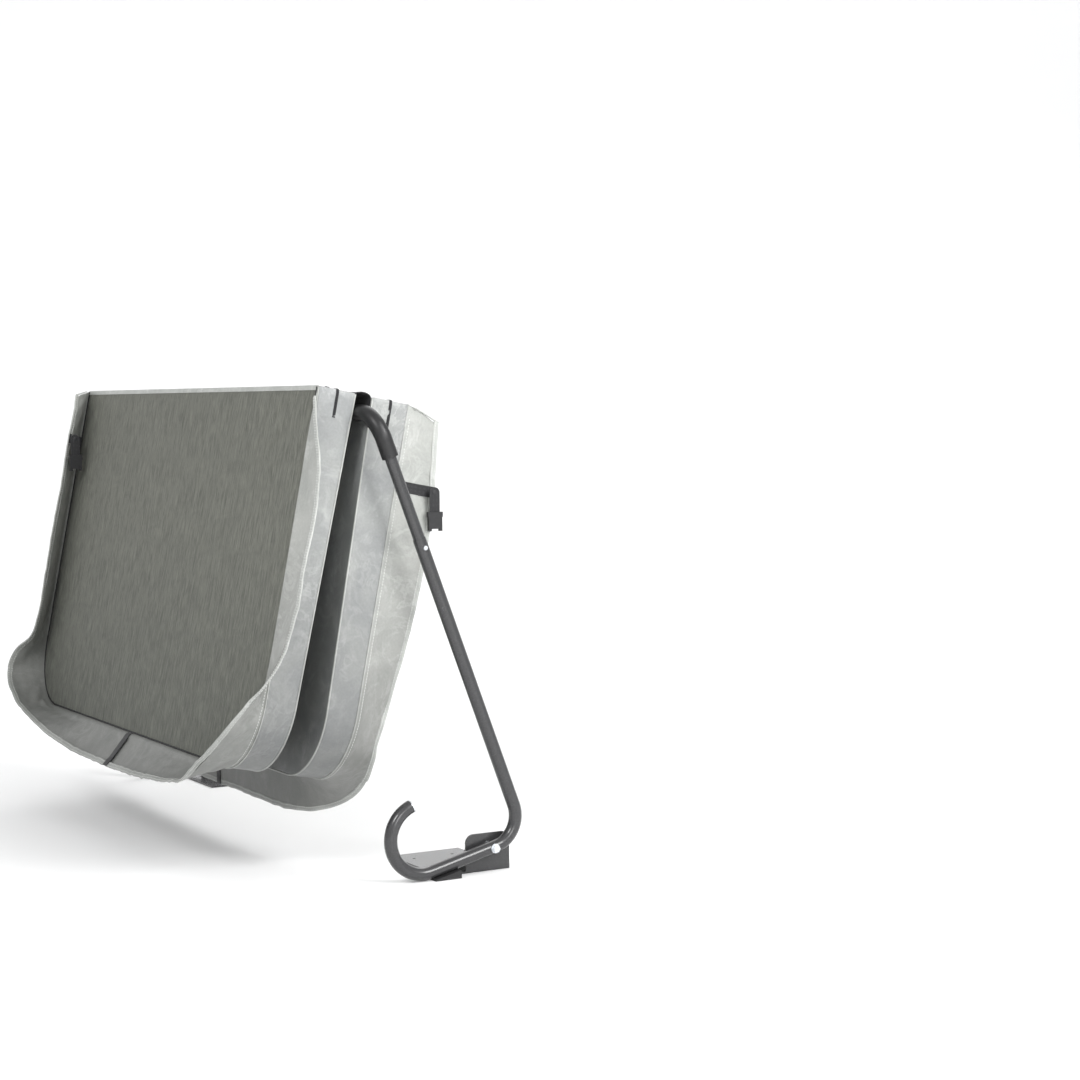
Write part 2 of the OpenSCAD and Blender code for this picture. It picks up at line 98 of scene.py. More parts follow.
class Graph:
    """A material's node tree with short ways to add and wire nodes."""

    def __init__(self, name: str) -> None:
        """Start an empty principled material called name."""
        self.material = bpy.data.materials.new(name)
        self.material.use_nodes = True
        self.tree = self.material.node_tree
        self.shader = self.tree.nodes["Principled BSDF"]
        self.place = self.tree.nodes.new("ShaderNodeTexCoord")

    def node(self, kind: str, **settings: object) -> bpy.types.Node:
        """Add one node and set its plain properties."""
        made = self.tree.nodes.new(kind)
        for key, value in settings.items():
            setattr(made, key, value)
        return made

    def wire(self, source: Socket, target: Socket) -> None:
        """Join an output socket to an input socket."""
        self.tree.links.new(source, target)

    def stretched(self, scale: tuple[float, float, float], uv: bool = False) -> Socket:
        """Object (or UV) coordinates scaled per axis.

        Args:
            scale: Factor along each axis, in cycles per metre.
            uv: Take the piece's own UV map in place of object coordinates.

        Returns:
            The mapped vector socket.
        """
        mapping = self.node("ShaderNodeMapping")
        mapping.inputs["Scale"].default_value = scale
        self.wire(self.place.outputs["UV" if uv else "Object"], mapping.inputs["Vector"])
        return mapping.outputs["Vector"]

    def noise(self, vector: Socket, scale: float, detail: float = 4.0, rough: float = 0.55,
              twist: float = 0.0) -> Socket:
        """Fractal noise from 0 to 1 on the given coordinates."""
        made = self.node("ShaderNodeTexNoise")
        made.inputs["Scale"].default_value = scale
        made.inputs["Detail"].default_value = detail
        made.inputs["Roughness"].default_value = rough
        made.inputs["Distortion"].default_value = twist
        self.wire(vector, made.inputs["Vector"])
        return made.outputs["Fac"]

    def ramp(self, value: Socket, low: float, high: float, dark: Colour, light: Colour) -> Socket:
        """Colour that runs from dark at low to light at high."""
        made = self.node("ShaderNodeValToRGB")
        made.color_ramp.elements[0].position = low
        made.color_ramp.elements[0].color = (*dark, 1.0)
        made.color_ramp.elements[1].position = high
        made.color_ramp.elements[1].color = (*light, 1.0)
        self.wire(value, made.inputs["Fac"])
        return made.outputs["Color"]

    def blend(self, share: Socket | float, first: Socket | Colour,
              second: Socket | Colour, mode: str = "MIX") -> Socket:
        """Mix two colours by share, in the given blend mode."""
        made = self.node("ShaderNodeMix", data_type="RGBA", blend_type=mode)
        for index, value in ((0, share), (6, first), (7, second)):
            if isinstance(value, Socket):
                self.wire(value, made.inputs[index])
            elif isinstance(value, tuple):
                made.inputs[index].default_value = (*value, 1.0)
            else:
                made.inputs[index].default_value = value
        return made.outputs[2]

    def sums(self, operation: str, first: Socket | float, second: Socket | float) -> Socket:
        """One arithmetic step on two numbers."""
        made = self.node("ShaderNodeMath", operation=operation)
        for index, value in enumerate((first, second)):
            if isinstance(value, Socket):
                self.wire(value, made.inputs[index])
            else:
                made.inputs[index].default_value = value
        return made.outputs[0]

    def bump(self, height: Socket, strength: float, distance: float,
             under: Socket | None = None) -> Socket:
        """Relief from a height value, laid over an earlier relief."""
        made = self.node("ShaderNodeBump")
        made.inputs["Strength"].default_value = strength
        made.inputs["Distance"].default_value = distance
        self.wire(height, made.inputs["Height"])
        if under is not None:
            self.wire(under, made.inputs["Normal"])
        return made.outputs["Normal"]

    def finish(self, colour: Socket, normal: Socket | None,
               rough: Socket | float, metal: float = 0.0, coat: float = 0.0,
               sheen: float = 0.0) -> bpy.types.Material:
        """Wire the surface and set the even values on the shader itself.

        Args:
            colour: Base colour socket.
            normal: Relief socket, or None for a smooth surface.
            rough: Roughness as a socket or one even value.
            metal: Metallic share.
            coat: Clear coat weight.
            sheen: Sheen weight for cloth.

        Returns:
            The finished material.
        """
        self.wire(colour, self.shader.inputs["Base Color"])
        if normal is not None:
            self.wire(normal, self.shader.inputs["Normal"])
        if isinstance(rough, Socket):
            self.wire(rough, self.shader.inputs["Roughness"])
        else:
            self.shader.inputs["Roughness"].default_value = rough
        self.shader.inputs["Metallic"].default_value = metal
        self.shader.inputs["Coat Weight"].default_value = coat
        self.shader.inputs["Sheen Weight"].default_value = sheen
        return self.material


@dataclass(frozen=True)
class MarbledVinyl:
    """Embossed marine vinyl with pale wisps, as a cover's skin is cut from."""

    name: str
    base: Colour
    wisp: Colour
    shade: Colour
    slot: str = "vinyl"
    grain: float = 620.0
    rough: float = 0.46
    # foot: share of the colour left at the bottom; this is painted shade that darkens the low parts
    foot: float = 0.50

    def make(self) -> bpy.types.Material:
        """Broad clouds, thin torn wisps, leather grain, and painted shade that darkens the colour towards the
        bottom.
        """
        g = Graph(self.name)
        place = g.stretched((1.0, 1.0, 1.0))
        cloud = g.ramp(g.noise(place, 5.5, 6.0, 0.58, 1.1), 0.34, 0.66, self.shade, self.base)
        vein = g.sums("ABSOLUTE", g.sums("SUBTRACT", g.noise(place, 8.5, 7.0, 0.64, 1.9), 0.5), 0.0)
        vein = g.ramp(vein, 0.0, 0.045, (1, 1, 1), (0, 0, 0))
        patch = g.ramp(g.noise(place, 4.2, 3.0, 0.5, 0.6), 0.46, 0.64, (0, 0, 0), (1, 1, 1))
        haze = g.ramp(g.noise(place, 13.0, 6.0, 0.62, 1.4), 0.52, 0.78, (0, 0, 0), (1, 1, 1))
        colour = g.blend(g.sums("MULTIPLY", haze, 0.5), cloud, self.wisp)
        colour = g.blend(g.sums("MULTIPLY", g.sums("MULTIPLY", vein, patch), 0.34), colour, self.wisp)
        speck = g.ramp(g.noise(place, 160.0, 3.0, 0.6), 0.35, 0.7, (0.93, 0.93, 0.93), (1.03, 1.03, 1.03))
        colour = g.blend(1.0, colour, speck, "MULTIPLY")
        # Painted shade: the colour is multiplied darker towards the bottom, down to foot at 0.22 m high, for
        # the shade on the low parts
        split = g.node("ShaderNodeSeparateXYZ")
        g.wire(place, split.inputs["Vector"])
        foot = g.sums("DIVIDE", g.sums("SUBTRACT", split.outputs["Z"], 0.22), 0.90)
        colour = g.blend(1.0, colour, g.ramp(foot, 0.0, 0.85, (self.foot,) * 3, (1.0, 1.0, 1.0)), "MULTIPLY")
        cells = g.node("ShaderNodeTexVoronoi", feature="SMOOTH_F1")
        cells.inputs["Scale"].default_value = self.grain
        g.wire(place, cells.inputs["Vector"])
        normal = g.bump(cells.outputs["Distance"], 0.22, 0.0007)
        normal = g.bump(g.noise(place, 38.0, 4.0, 0.6), 0.16, 0.004, normal)
        rough = g.sums("ADD", g.sums("MULTIPLY", g.noise(place, 14.0, 5.0), 0.16), self.rough - 0.08)
        return g.finish(colour, normal, rough, coat=0.04)


@dataclass(frozen=True)
class WovenLining:
    """Open weave underside cloth with long threads down the panel."""

    name: str
    base: Colour
    pale: Colour
    dusk: Colour
    slot: str = "lining"

    def make(self) -> bpy.types.Material:
        """Thread streaks, crossing ribs, broad waves of tone and painted shade that darkens the foot."""
        g = Graph(self.name)
        place = g.stretched((1.0, 1.0, 1.0))
        streak = g.noise(g.stretched((330.0, 60.0, 16.0)), 1.0, 4.0, 0.66, 0.25)
        weft = g.noise(g.stretched((26.0, 60.0, 380.0)), 1.0, 2.0, 0.5)
        tone = g.noise(g.stretched((9.0, 4.0, 16.0)), 1.0, 4.0, 0.6, 2.2)
        colour = g.ramp(streak, 0.36, 0.64, self.dusk, self.pale)
        colour = g.blend(g.sums("MULTIPLY", weft, 0.35), colour, self.base)
        waves = g.ramp(tone, 0.32, 0.7, (0.84, 0.85, 0.84), (1.10, 1.10, 1.08))
        colour = g.blend(0.7, colour, waves, "MULTIPLY")
        # Painted shade: the lining's colour is multiplied darker towards the bottom
        split = g.node("ShaderNodeSeparateXYZ")
        g.wire(place, split.inputs["Vector"])
        foot = g.sums("DIVIDE", g.sums("SUBTRACT", split.outputs["Z"], 0.25), 0.9)
        painted_foot_shade = g.ramp(foot, 0.0, 0.75, (0.70, 0.72, 0.72), (1.04, 1.04, 1.02))
        colour = g.blend(0.75, colour, painted_foot_shade, "MULTIPLY")
        warp = g.node("ShaderNodeTexWave", wave_type="BANDS", bands_direction="X")
        warp.inputs["Scale"].default_value = 150.0
        warp.inputs["Distortion"].default_value = 0.6
        g.wire(place, warp.inputs["Vector"])
        ribs = g.node("ShaderNodeTexWave", wave_type="BANDS", bands_direction="Z")
        ribs.inputs["Scale"].default_value = 150.0
        g.wire(place, ribs.inputs["Vector"])
        weave = g.sums("MULTIPLY", warp.outputs["Fac"], ribs.outputs["Fac"])
        normal = g.bump(weave, 0.25, 0.0006)
        normal = g.bump(streak, 0.25, 0.0012, normal)
        return g.finish(colour, normal, 0.8, sheen=0.06)


@dataclass(frozen=True)
class Webbing:
    """Woven black strap or tape, ribbed along its own length."""

    name: str
    base: Colour
    ribs: float = 1.0 / 0.0022
    slot: str = "webbing"
    uv: bool = True

    def make(self) -> bpy.types.Material:
        """Cross ribs and edge threads laid on the piece's own run and width."""
        g = Graph(self.name)
        place = g.stretched((1.0, 1.0, 1.0), self.uv)
        wave = g.node("ShaderNodeTexWave", wave_type="BANDS", bands_direction="X")
        wave.inputs["Scale"].default_value = self.ribs / 20.0
        wave.inputs["Distortion"].default_value = 0.8
        g.wire(place, wave.inputs["Vector"])
        cross = g.node("ShaderNodeTexWave", wave_type="BANDS", bands_direction="Y")
        cross.inputs["Scale"].default_value = self.ribs / 14.0
        g.wire(place, cross.inputs["Vector"])
        weave = g.sums("MULTIPLY", wave.outputs["Fac"], cross.outputs["Fac"])
        dust = g.noise(g.stretched((1.0, 1.0, 1.0)), 55.0, 5.0, 0.6)
        lint = tuple(min(1.0, c * 2.4 + 0.012) for c in self.base)
        colour = g.blend(g.sums("MULTIPLY", dust, 0.5), self.base, lint)
        relief = g.ramp(weave, 0.0, 0.9, (0.55, 0.55, 0.55), (1.25, 1.25, 1.25))
        colour = g.blend(0.6, colour, relief, "MULTIPLY")
        return g.finish(colour, g.bump(weave, 0.5, 0.0006), 0.78, sheen=0.15)


@dataclass(frozen=True)
class PowderCoat:
    """Baked charcoal powder on steel, with a fine orange peel."""

    name: str
    base: Colour
    fleck: Colour
    slot: str = "tube"

    def make(self) -> bpy.types.Material:
        """Two sizes of fleck in the colour and a soft peel in the relief."""
        g = Graph(self.name)
        place = g.stretched((1.0, 1.0, 1.0))
        fleck = g.ramp(g.noise(place, 900.0, 2.0, 0.5), 0.5, 0.68, (0, 0, 0), (1, 1, 1))
        dust = g.noise(place, 24.0, 5.0, 0.62)
        colour = g.blend(g.sums("MULTIPLY", fleck, 0.55), self.base, self.fleck)
        film = g.ramp(dust, 0.35, 0.72, (0.95, 0.95, 0.95), (1.06, 1.06, 1.06))
        colour = g.blend(0.5, colour, film, "MULTIPLY")
        normal = g.bump(g.noise(place, 420.0, 3.0, 0.5), 0.20, 0.0004)
        rough = g.sums("ADD", g.sums("MULTIPLY", dust, 0.05), 0.24)
        return g.finish(colour, normal, rough, coat=0.25)


@dataclass(frozen=True)
class Moulded:
    """Moulded plastic, rubber or foam in one colour with a fine surface."""

    name: str
    base: Colour
    rough: float
    slot: str
    pore: float = 900.0
    depth: float = 0.0003

    def make(self) -> bpy.types.Material:
        """Fine pores, faint scuffs and a slight change of tone."""
        g = Graph(self.name)
        place = g.stretched((1.0, 1.0, 1.0))
        scuff = g.noise(g.stretched((60.0, 90.0, 240.0)), 1.0, 4.0, 0.6)
        worn = tuple(min(1.0, c * 1.7 + 0.01) for c in self.base)
        colour = g.blend(g.ramp(scuff, 0.5, 0.85, (0, 0, 0), (0.5, 0.5, 0.5)), self.base, worn)
        normal = g.bump(g.noise(place, self.pore, 2.0, 0.5), 0.3, self.depth)
        rough = g.sums("ADD", g.sums("MULTIPLY", scuff, 0.14), self.rough - 0.06)
        return g.finish(colour, normal, rough)


@dataclass(frozen=True)
class BareMetal:
    """Plated or galvanised steel with fine draw lines."""

    name: str
    base: Colour
    rough: float
    slot: str
    spangle: float = 90.0

    def make(self) -> bpy.types.Material:
        """Crystal patches in tone and gloss, with thin scratches."""
        g = Graph(self.name)
        place = g.stretched((1.0, 1.0, 1.0))
        cells = g.node("ShaderNodeTexVoronoi")
        cells.inputs["Scale"].default_value = self.spangle
        g.wire(place, cells.inputs["Vector"])
        tint = g.ramp(cells.outputs["Distance"], 0.0, 0.8, (0.86, 0.86, 0.86), (1.08, 1.08, 1.08))
        colour = g.blend(1.0, self.base, tint, "MULTIPLY")
        lines = g.noise(g.stretched((40.0, 900.0, 900.0)), 1.0, 2.0, 0.5)
        rough = g.sums("ADD", g.sums("MULTIPLY", lines, 0.2), self.rough - 0.08)
        return g.finish(colour, g.bump(lines, 0.12, 0.0002), rough, metal=1.0)


@dataclass(frozen=True)
class StudioFloor:
    """The plain pale ground the object stands on."""

    name: str
    base: Colour

    def make(self) -> bpy.types.Material:
        """Even matt colour with hardly any cloud in it."""
        g = Graph(self.name)
        cloud = g.noise(g.stretched((1.0, 1.0, 1.0)), 0.8, 2.0, 0.5)
        even = g.ramp(cloud, 0.3, 0.7, (0.985, 0.985, 0.985), (1.0, 1.0, 1.0))
        colour = g.blend(0.5, self.base, even, "MULTIPLY")
        return g.finish(colour, None, 0.9)


class Palette:
    """Makes each finish once and hands out its material."""

    # Each vinyl's foot sets its painted shade: how dark its colour is made towards the bottom
    SKIN = MarbledVinyl("marbled_vinyl", srgb(147, 149, 147), srgb(184, 185, 183), srgb(133, 135, 135))
    SKIRT = MarbledVinyl("skirt_vinyl", srgb(167, 168, 164), srgb(200, 201, 198), srgb(151, 153, 149),
                         "skirt_vinyl", foot=0.42)
    HEM = MarbledVinyl("hem_vinyl", srgb(176, 178, 174), srgb(206, 207, 204), srgb(158, 160, 156),
                       "hem_binding", foot=0.66)
    LINING = WovenLining("woven_lining", srgb(90, 91, 84), srgb(114, 115, 107), srgb(66, 67, 61))
    WEBBING = Webbing("strap_webbing", srgb(26, 26, 28))
    TAPE = Webbing("zip_tape", srgb(22, 22, 24), 1.0 / 0.0012)
    HINGE = Webbing("hinge_fabric", srgb(24, 24, 27), 1.0 / 0.0018)
    # Dark welt: partly a real seam cord, partly painted shadow for the crease between lining and skirt
    WELT = Moulded("seam_welt", srgb(22, 22, 23), 0.6, "webbing", 1200.0, 0.0002)
    THREAD = Moulded("stitch_thread", srgb(205, 207, 204), 0.7, "hem_binding", 2400.0, 0.0001)
    DARK_THREAD = Moulded("dark_thread", srgb(70, 70, 72), 0.7, "webbing", 2400.0, 0.0001)
    TUBE = PowderCoat("charcoal_powder", srgb(44, 44, 45), srgb(84, 84, 86))
    PLASTIC = Moulded("black_plastic", srgb(27, 27, 29), 0.42, "black_plastic", 1500.0, 0.0002)
    RUBBER = Moulded("black_rubber", srgb(30, 30, 31), 0.68, "rubber")
    SLEEVE = Moulded("foam_sleeve", srgb(19, 19, 20), 0.4, "soft_grip", 1400.0, 0.0003)
    ZINC = BareMetal("bright_zinc", (0.72, 0.74, 0.77), 0.28, "zinc")
    GALVANISED = BareMetal("galvanised", (0.62, 0.64, 0.66), 0.42, "channel")
    FOAM = Moulded("white_foam", srgb(240, 240, 238), 0.85, "foam", 320.0, 0.001)
    FILM = Moulded("vapour_film", srgb(205, 210, 214), 0.3, "film", 60.0, 0.0008)
    FLOOR = StudioFloor("studio_floor", (0.90, 0.90, 0.90))

    def __init__(self) -> None:
        """Start with nothing made."""
        self.made: dict[str, bpy.types.Material] = {}

    def get(self, finish: object) -> bpy.types.Material:
        """The material of a finish, made on first use."""
        if finish.name not in self.made:
            self.made[finish.name] = finish.make()
        return self.made[finish.name]


PALETTE = Palette()


# ---------------------------------------------------------------- mesh work


def quads(rows: int, columns: int, base: int = 0, wrap: bool = False) -> Array:
    """Corner numbers of the cells of a rows by columns grid of points.

    Args:
        rows: Points along the first direction.
        columns: Points along the second direction.
        base: Number of the grid's first point.
        wrap: Close the second direction on itself.

    Returns:
        One row of four corners a cell.
    """
    i = np.arange(rows - 1)[:, None]
    j = np.arange(columns if wrap else columns - 1)[None, :]
    k = (j + 1) % columns
    here, below = i * columns, (i + 1) * columns
    return np.stack([here + j, below + j, below + k, here + k], axis=-1).reshape(-1, 4) + base


def make_piece(name: str, points: Array, faces: list[list[int]], finish: object,
               uv: Array | None = None, crease: float = 50.0) -> bpy.types.Object:
    """Put points and faces into a mesh whose faces look outwards.

    Args:
        name: Name of the new object.
        points: Corners in the row frame, in metres.
        faces: Corner numbers of each face.
        finish: The finish that dresses it.
        uv: Run and width of each point along its own cloth, in metres.
        crease: Edges sharper than this many degrees are shaded sharp.

    Returns:
        The object, at the origin, with its place in its mesh.
    """
    mesh = bpy.data.meshes.new(name)
    mesh.from_pydata(np.asarray(points, float).reshape(-1, 3).tolist(), [], faces)
    work = bmesh.new()
    work.from_mesh(mesh)
    bmesh.ops.recalc_face_normals(work, faces=work.faces)
    work.to_mesh(mesh)
    work.free()
    if uv is not None:
        layer = mesh.uv_layers.new(name="run")
        corner = np.empty(len(mesh.loops), dtype=np.int32)
        mesh.loops.foreach_get("vertex_index", corner)
        layer.data.foreach_set("uv", np.asarray(uv, np.float32)[corner].ravel())
    mesh.shade_smooth()
    mesh.set_sharp_from_angle(angle=math.radians(crease))
    mesh.materials.append(PALETTE.get(finish))
    made = bpy.data.objects.new(name, mesh)
    bpy.context.scene.collection.objects.link(made)
    log.info("%s: %d faces", name, len(mesh.polygons))
    return made


def closed_sheet(name: str, front: Array, back: Array, finish: object,
                 uv: Array | None = None) -> bpy.types.Object:
    """A thin closed sheet between two matching grids, joined round its rim.

    Args:
        name: Name of the new object.
        front: Grid of points of one face, rows by columns by 3.
        back: The same grid for the other face.
        finish: The finish that dresses it.
        uv: Run and width of each grid point.

    Returns:
        The sheet as an object.
    """
    n, m = front.shape[:2]
    count = n * m
    grid = quads(n, m)
    edge = np.concatenate([np.arange(m), np.arange(2, n + 1) * m - 1, count - 2 - np.arange(m - 1),
                           (np.arange(n - 2)[::-1] + 1) * m])
    after = np.roll(edge, -1)
    rim = np.stack([edge, after, after + count, edge + count], axis=1)
    faces = np.concatenate([grid, grid[:, ::-1] + count, rim]).tolist()
    both = None if uv is None else np.concatenate([uv.reshape(-1, 2)] * 2)
    return make_piece(name, np.concatenate([front.reshape(-1, 3), back.reshape(-1, 3)]), faces, finish, both)


def carried(path: Array, side: Array, up: Array, profile: Array,
            loop: bool = False) -> tuple[Array, list[list[int]]]:
    """A closed profile carried along a path.

    Each point is the path's point plus the profile's first number along side and its second along up.

    Args:
        path: Points of the path, n by 3.
        side: Unit vector across the path at each point.
        up: Unit vector off the path at each point.
        profile: Points of the closed profile, m by 2.
        loop: The path joins its own start.

    Returns:
        The points and the faces, with flat ends unless the path loops.
    """
    n, m = len(path), len(profile)
    points = (path[:, None, :] + side[:, None, :] * profile[None, :, :1]
              + up[:, None, :] * profile[None, :, 1:])
    faces = quads(n, m, 0, True).tolist()
    if loop:
        j = np.arange(m)
        k = (j + 1) % m
        faces += np.stack([(n - 1) * m + j, j, k, (n - 1) * m + k], axis=1).tolist()
    else:
        faces += [list(range(m)), list(range((n - 1) * m, n * m))[::-1]]
    return points.reshape(-1, 3), faces


def ring(radius: float, count: int = 12) -> Array:
    """Points of a circle, as the cosine and sine of even steps."""
    a = np.arange(count) * 2.0 * math.pi / count
    return np.stack([np.cos(a), np.sin(a)], axis=1) * radius


def rounded_bar(width: float, height: float, radius: float, count: int = 4) -> Array:
    """A rectangle whose corners are quarter circles of the given radius."""
    a = np.linspace(0.0, math.pi / 2.0, count)
    arc = np.stack([np.cos(a), np.sin(a)], axis=1) * radius
    turns = [arc, np.stack([-arc[:, 1], arc[:, 0]], 1), -arc, np.stack([arc[:, 1], -arc[:, 0]], 1)]
    signs = [(1, 1), (-1, 1), (-1, -1), (1, -1)]
    spots = [np.array([sx * (width / 2 - radius), sy * (height / 2 - radius)]) for sx, sy in signs]
    return np.concatenate([t + c for t, c in zip(turns, spots)])


def run_along(path: Array) -> Array:
    """Distance from the start of a path to each of its points."""
    return np.concatenate([[0.0], np.cumsum(np.linalg.norm(np.diff(path, axis=0), axis=1))])


def unit(vectors: Array) -> Array:
    """Vectors scaled to length one along the last axis."""
    return vectors / np.maximum(np.linalg.norm(vectors, axis=-1, keepdims=True), 1e-12)


def ripple(a: Array, b: Array, seed: int, reach: float, waves: int = 9) -> Array:
    """Smooth seeded unevenness from about -1 to 1.

    It is a sum of sine waves in seeded directions, whose lengths run from half of reach to twice reach.

    Args:
        a: First coordinate in metres.
        b: Second coordinate in metres.
        seed: Seed of the directions and phases.
        reach: Typical wave length in metres.
        waves: Number of waves summed.

    Returns:
        The value at each point.
    """
    rng = np.random.default_rng(seed)
    heading = rng.uniform(0.0, 2.0 * math.pi, waves)
    k = 2.0 * math.pi / (reach * 2.0 ** rng.uniform(-1.0, 1.0, waves))
    phase = rng.uniform(0.0, 2.0 * math.pi, waves)
    total = sum(np.sin(k[w] * (a * math.cos(heading[w]) + b * math.sin(heading[w])) + phase[w])
                for w in range(waves))
    return total / math.sqrt(waves / 2.0) / 1.6


def smooth(x: Array, low: float, high: float) -> Array:
    """Rises from 0 at low to 1 at high along a soft curve."""
    f = np.clip((x - low) / (high - low), 0.0, 1.0)
    return f * f * (3.0 - 2.0 * f)


def stitches(name: str, centres: Array, along: Array, across: Array, normal: Array, finish: object,
             length: float = 0.0046, width: float = 0.0011, rise: float = 0.0008) -> bpy.types.Object:
    """A row of short tapered stitches that stand on a surface.

    Each stitch is a block of eight corners whose top is shorter than its foot.

    Args:
        name: Name of the new object.
        centres: Foot of each stitch.
        along: Unit vector along the seam at each stitch.
        across: Unit vector across the seam.
        normal: Unit vector out of the surface.
        finish: The thread's finish.
        length: Length of a stitch.
        width: Width of a stitch.
        rise: How far it stands proud.

    Returns:
        All the stitches as one object.
    """
    foot = np.array([[-1, -1, -0.5], [1, -1, -0.5], [1, 1, -0.5], [-1, 1, -0.5],
                     [-0.62, -0.6, 1], [0.62, -0.6, 1], [0.62, 0.6, 1], [-0.62, 0.6, 1]], float)
    foot = foot * np.array([length / 2, width / 2, rise])
    points = (centres[:, None, :] + along[:, None, :] * foot[None, :, 0:1]
              + across[:, None, :] * foot[None, :, 1:2] + normal[:, None, :] * foot[None, :, 2:3])
    cell = np.array([[0, 3, 2, 1], [4, 5, 6, 7], [0, 1, 5, 4], [1, 2, 6, 5], [2, 3, 7, 6], [3, 0, 4, 7]])
    faces = (cell[None] + 8 * np.arange(len(centres))[:, None, None]).reshape(-1, 4)
    return make_piece(name, points.reshape(-1, 3), faces.tolist(), finish, crease=80.0)


def settle(grid: Array, held: int, frames: int, weight: float, cap: float) -> Array:
    """Let a grid of cloth settle under a little of its own weight, held along its first columns.

    A few frames of Cloth run on it, and each point's move is capped.

    Args:
        grid: Points, rows by columns by 3, held along the first columns.
        held: Number of columns that stay put.
        frames: Frames to run.
        weight: Share of gravity that acts.
        cap: Furthest a point may move, in metres.

    Returns:
        The settled grid.
    """
    n, m = grid.shape[:2]
    mesh = bpy.data.meshes.new("settling")
    mesh.from_pydata(grid.reshape(-1, 3).tolist(), [], quads(n, m).tolist())
    cloth = bpy.data.objects.new("settling", mesh)
    bpy.context.scene.collection.objects.link(cloth)
    pins = cloth.vertex_groups.new(name="seam")
    pins.add((np.arange(n)[:, None] * m + np.arange(held)).ravel().tolist(), 1.0, "REPLACE")
    work = cloth.modifiers.new("settle", "CLOTH")
    work.settings.vertex_group_mass = "seam"
    work.settings.quality = 5
    work.settings.mass = 0.4
    work.settings.tension_stiffness = 30.0
    work.settings.compression_stiffness = 30.0
    work.settings.bending_stiffness = 4.0
    work.settings.effector_weights.gravity = weight
    work.collision_settings.use_collision = False
    work.point_cache.frame_start = 1
    work.point_cache.frame_end = frames
    scene = bpy.context.scene
    for step in range(1, frames + 1):
        scene.frame_set(step)
    seen = cloth.evaluated_get(bpy.context.evaluated_depsgraph_get()).to_mesh()
    moved = np.empty(n * m * 3)
    seen.vertices.foreach_get("co", moved)
    scene.frame_set(1)
    bpy.data.objects.remove(cloth)
    shift = moved.reshape(n, m, 3) - grid
    length = np.linalg.norm(shift, axis=-1, keepdims=True)
    return grid + shift * np.minimum(1.0, cap / np.maximum(length, 1e-9))


# ---------------------------------------------------------------- where the cover hangs


def joint_at(name: str) -> Array:
    """Where a named joint of the record sits, in metres."""
    return np.array(next(j["pos_m"] for j in frame["joints"] if j["name"] == name), float)


@dataclass(frozen=True)
class Hang:
    """Places flat panel measures where the folded cover hangs over its bar.

    x runs along the hinge, s from the hinge face to the free edge and t from the underside to the top.
    """

    half: Half
    bar: Place
    lean: float = math.radians(11.5)
    rise: float = 0.048
    under: float = 0.134

    def row(self, x: Array, s: Array, t: Array) -> Array:
        """Row-frame points of flat points.

        The rear half is the front half turned half way round about the upright through the bar.
        Distance along the panel runs down and away from the tub by the lean, distance off it square to that.

        Args:
            x: Along the hinge.
            s: From the hinge face towards the free edge.
            t: From the underside towards the top face.

        Returns:
            The points, with a last axis of 3.
        """
        x, s, t = np.broadcast_arrays(*(np.asarray(v, float) for v in (x, s, t)))
        m = -1.0 if self.half is Half.REAR else 1.0
        ds, dn = s - self.rise, m * (t - self.under)
        c, n = math.cos(self.lean), math.sin(self.lean)
        return np.stack([self.bar[0] + m * x, self.bar[1] - n * ds + c * dn,
                         self.bar[2] - c * ds - n * dn], axis=-1)

    def turn(self, vectors: Array) -> Array:
        """Row-frame directions of flat directions (dx, ds, dt)."""
        m = -1.0 if self.half is Half.REAR else 1.0
        c, n = math.cos(self.lean), math.sin(self.lean)
        dx, ds, dt = vectors[..., 0], vectors[..., 1], vectors[..., 2]
        return np.stack([m * dx, -n * ds + c * m * dt, -c * ds - n * m * dt], axis=-1)


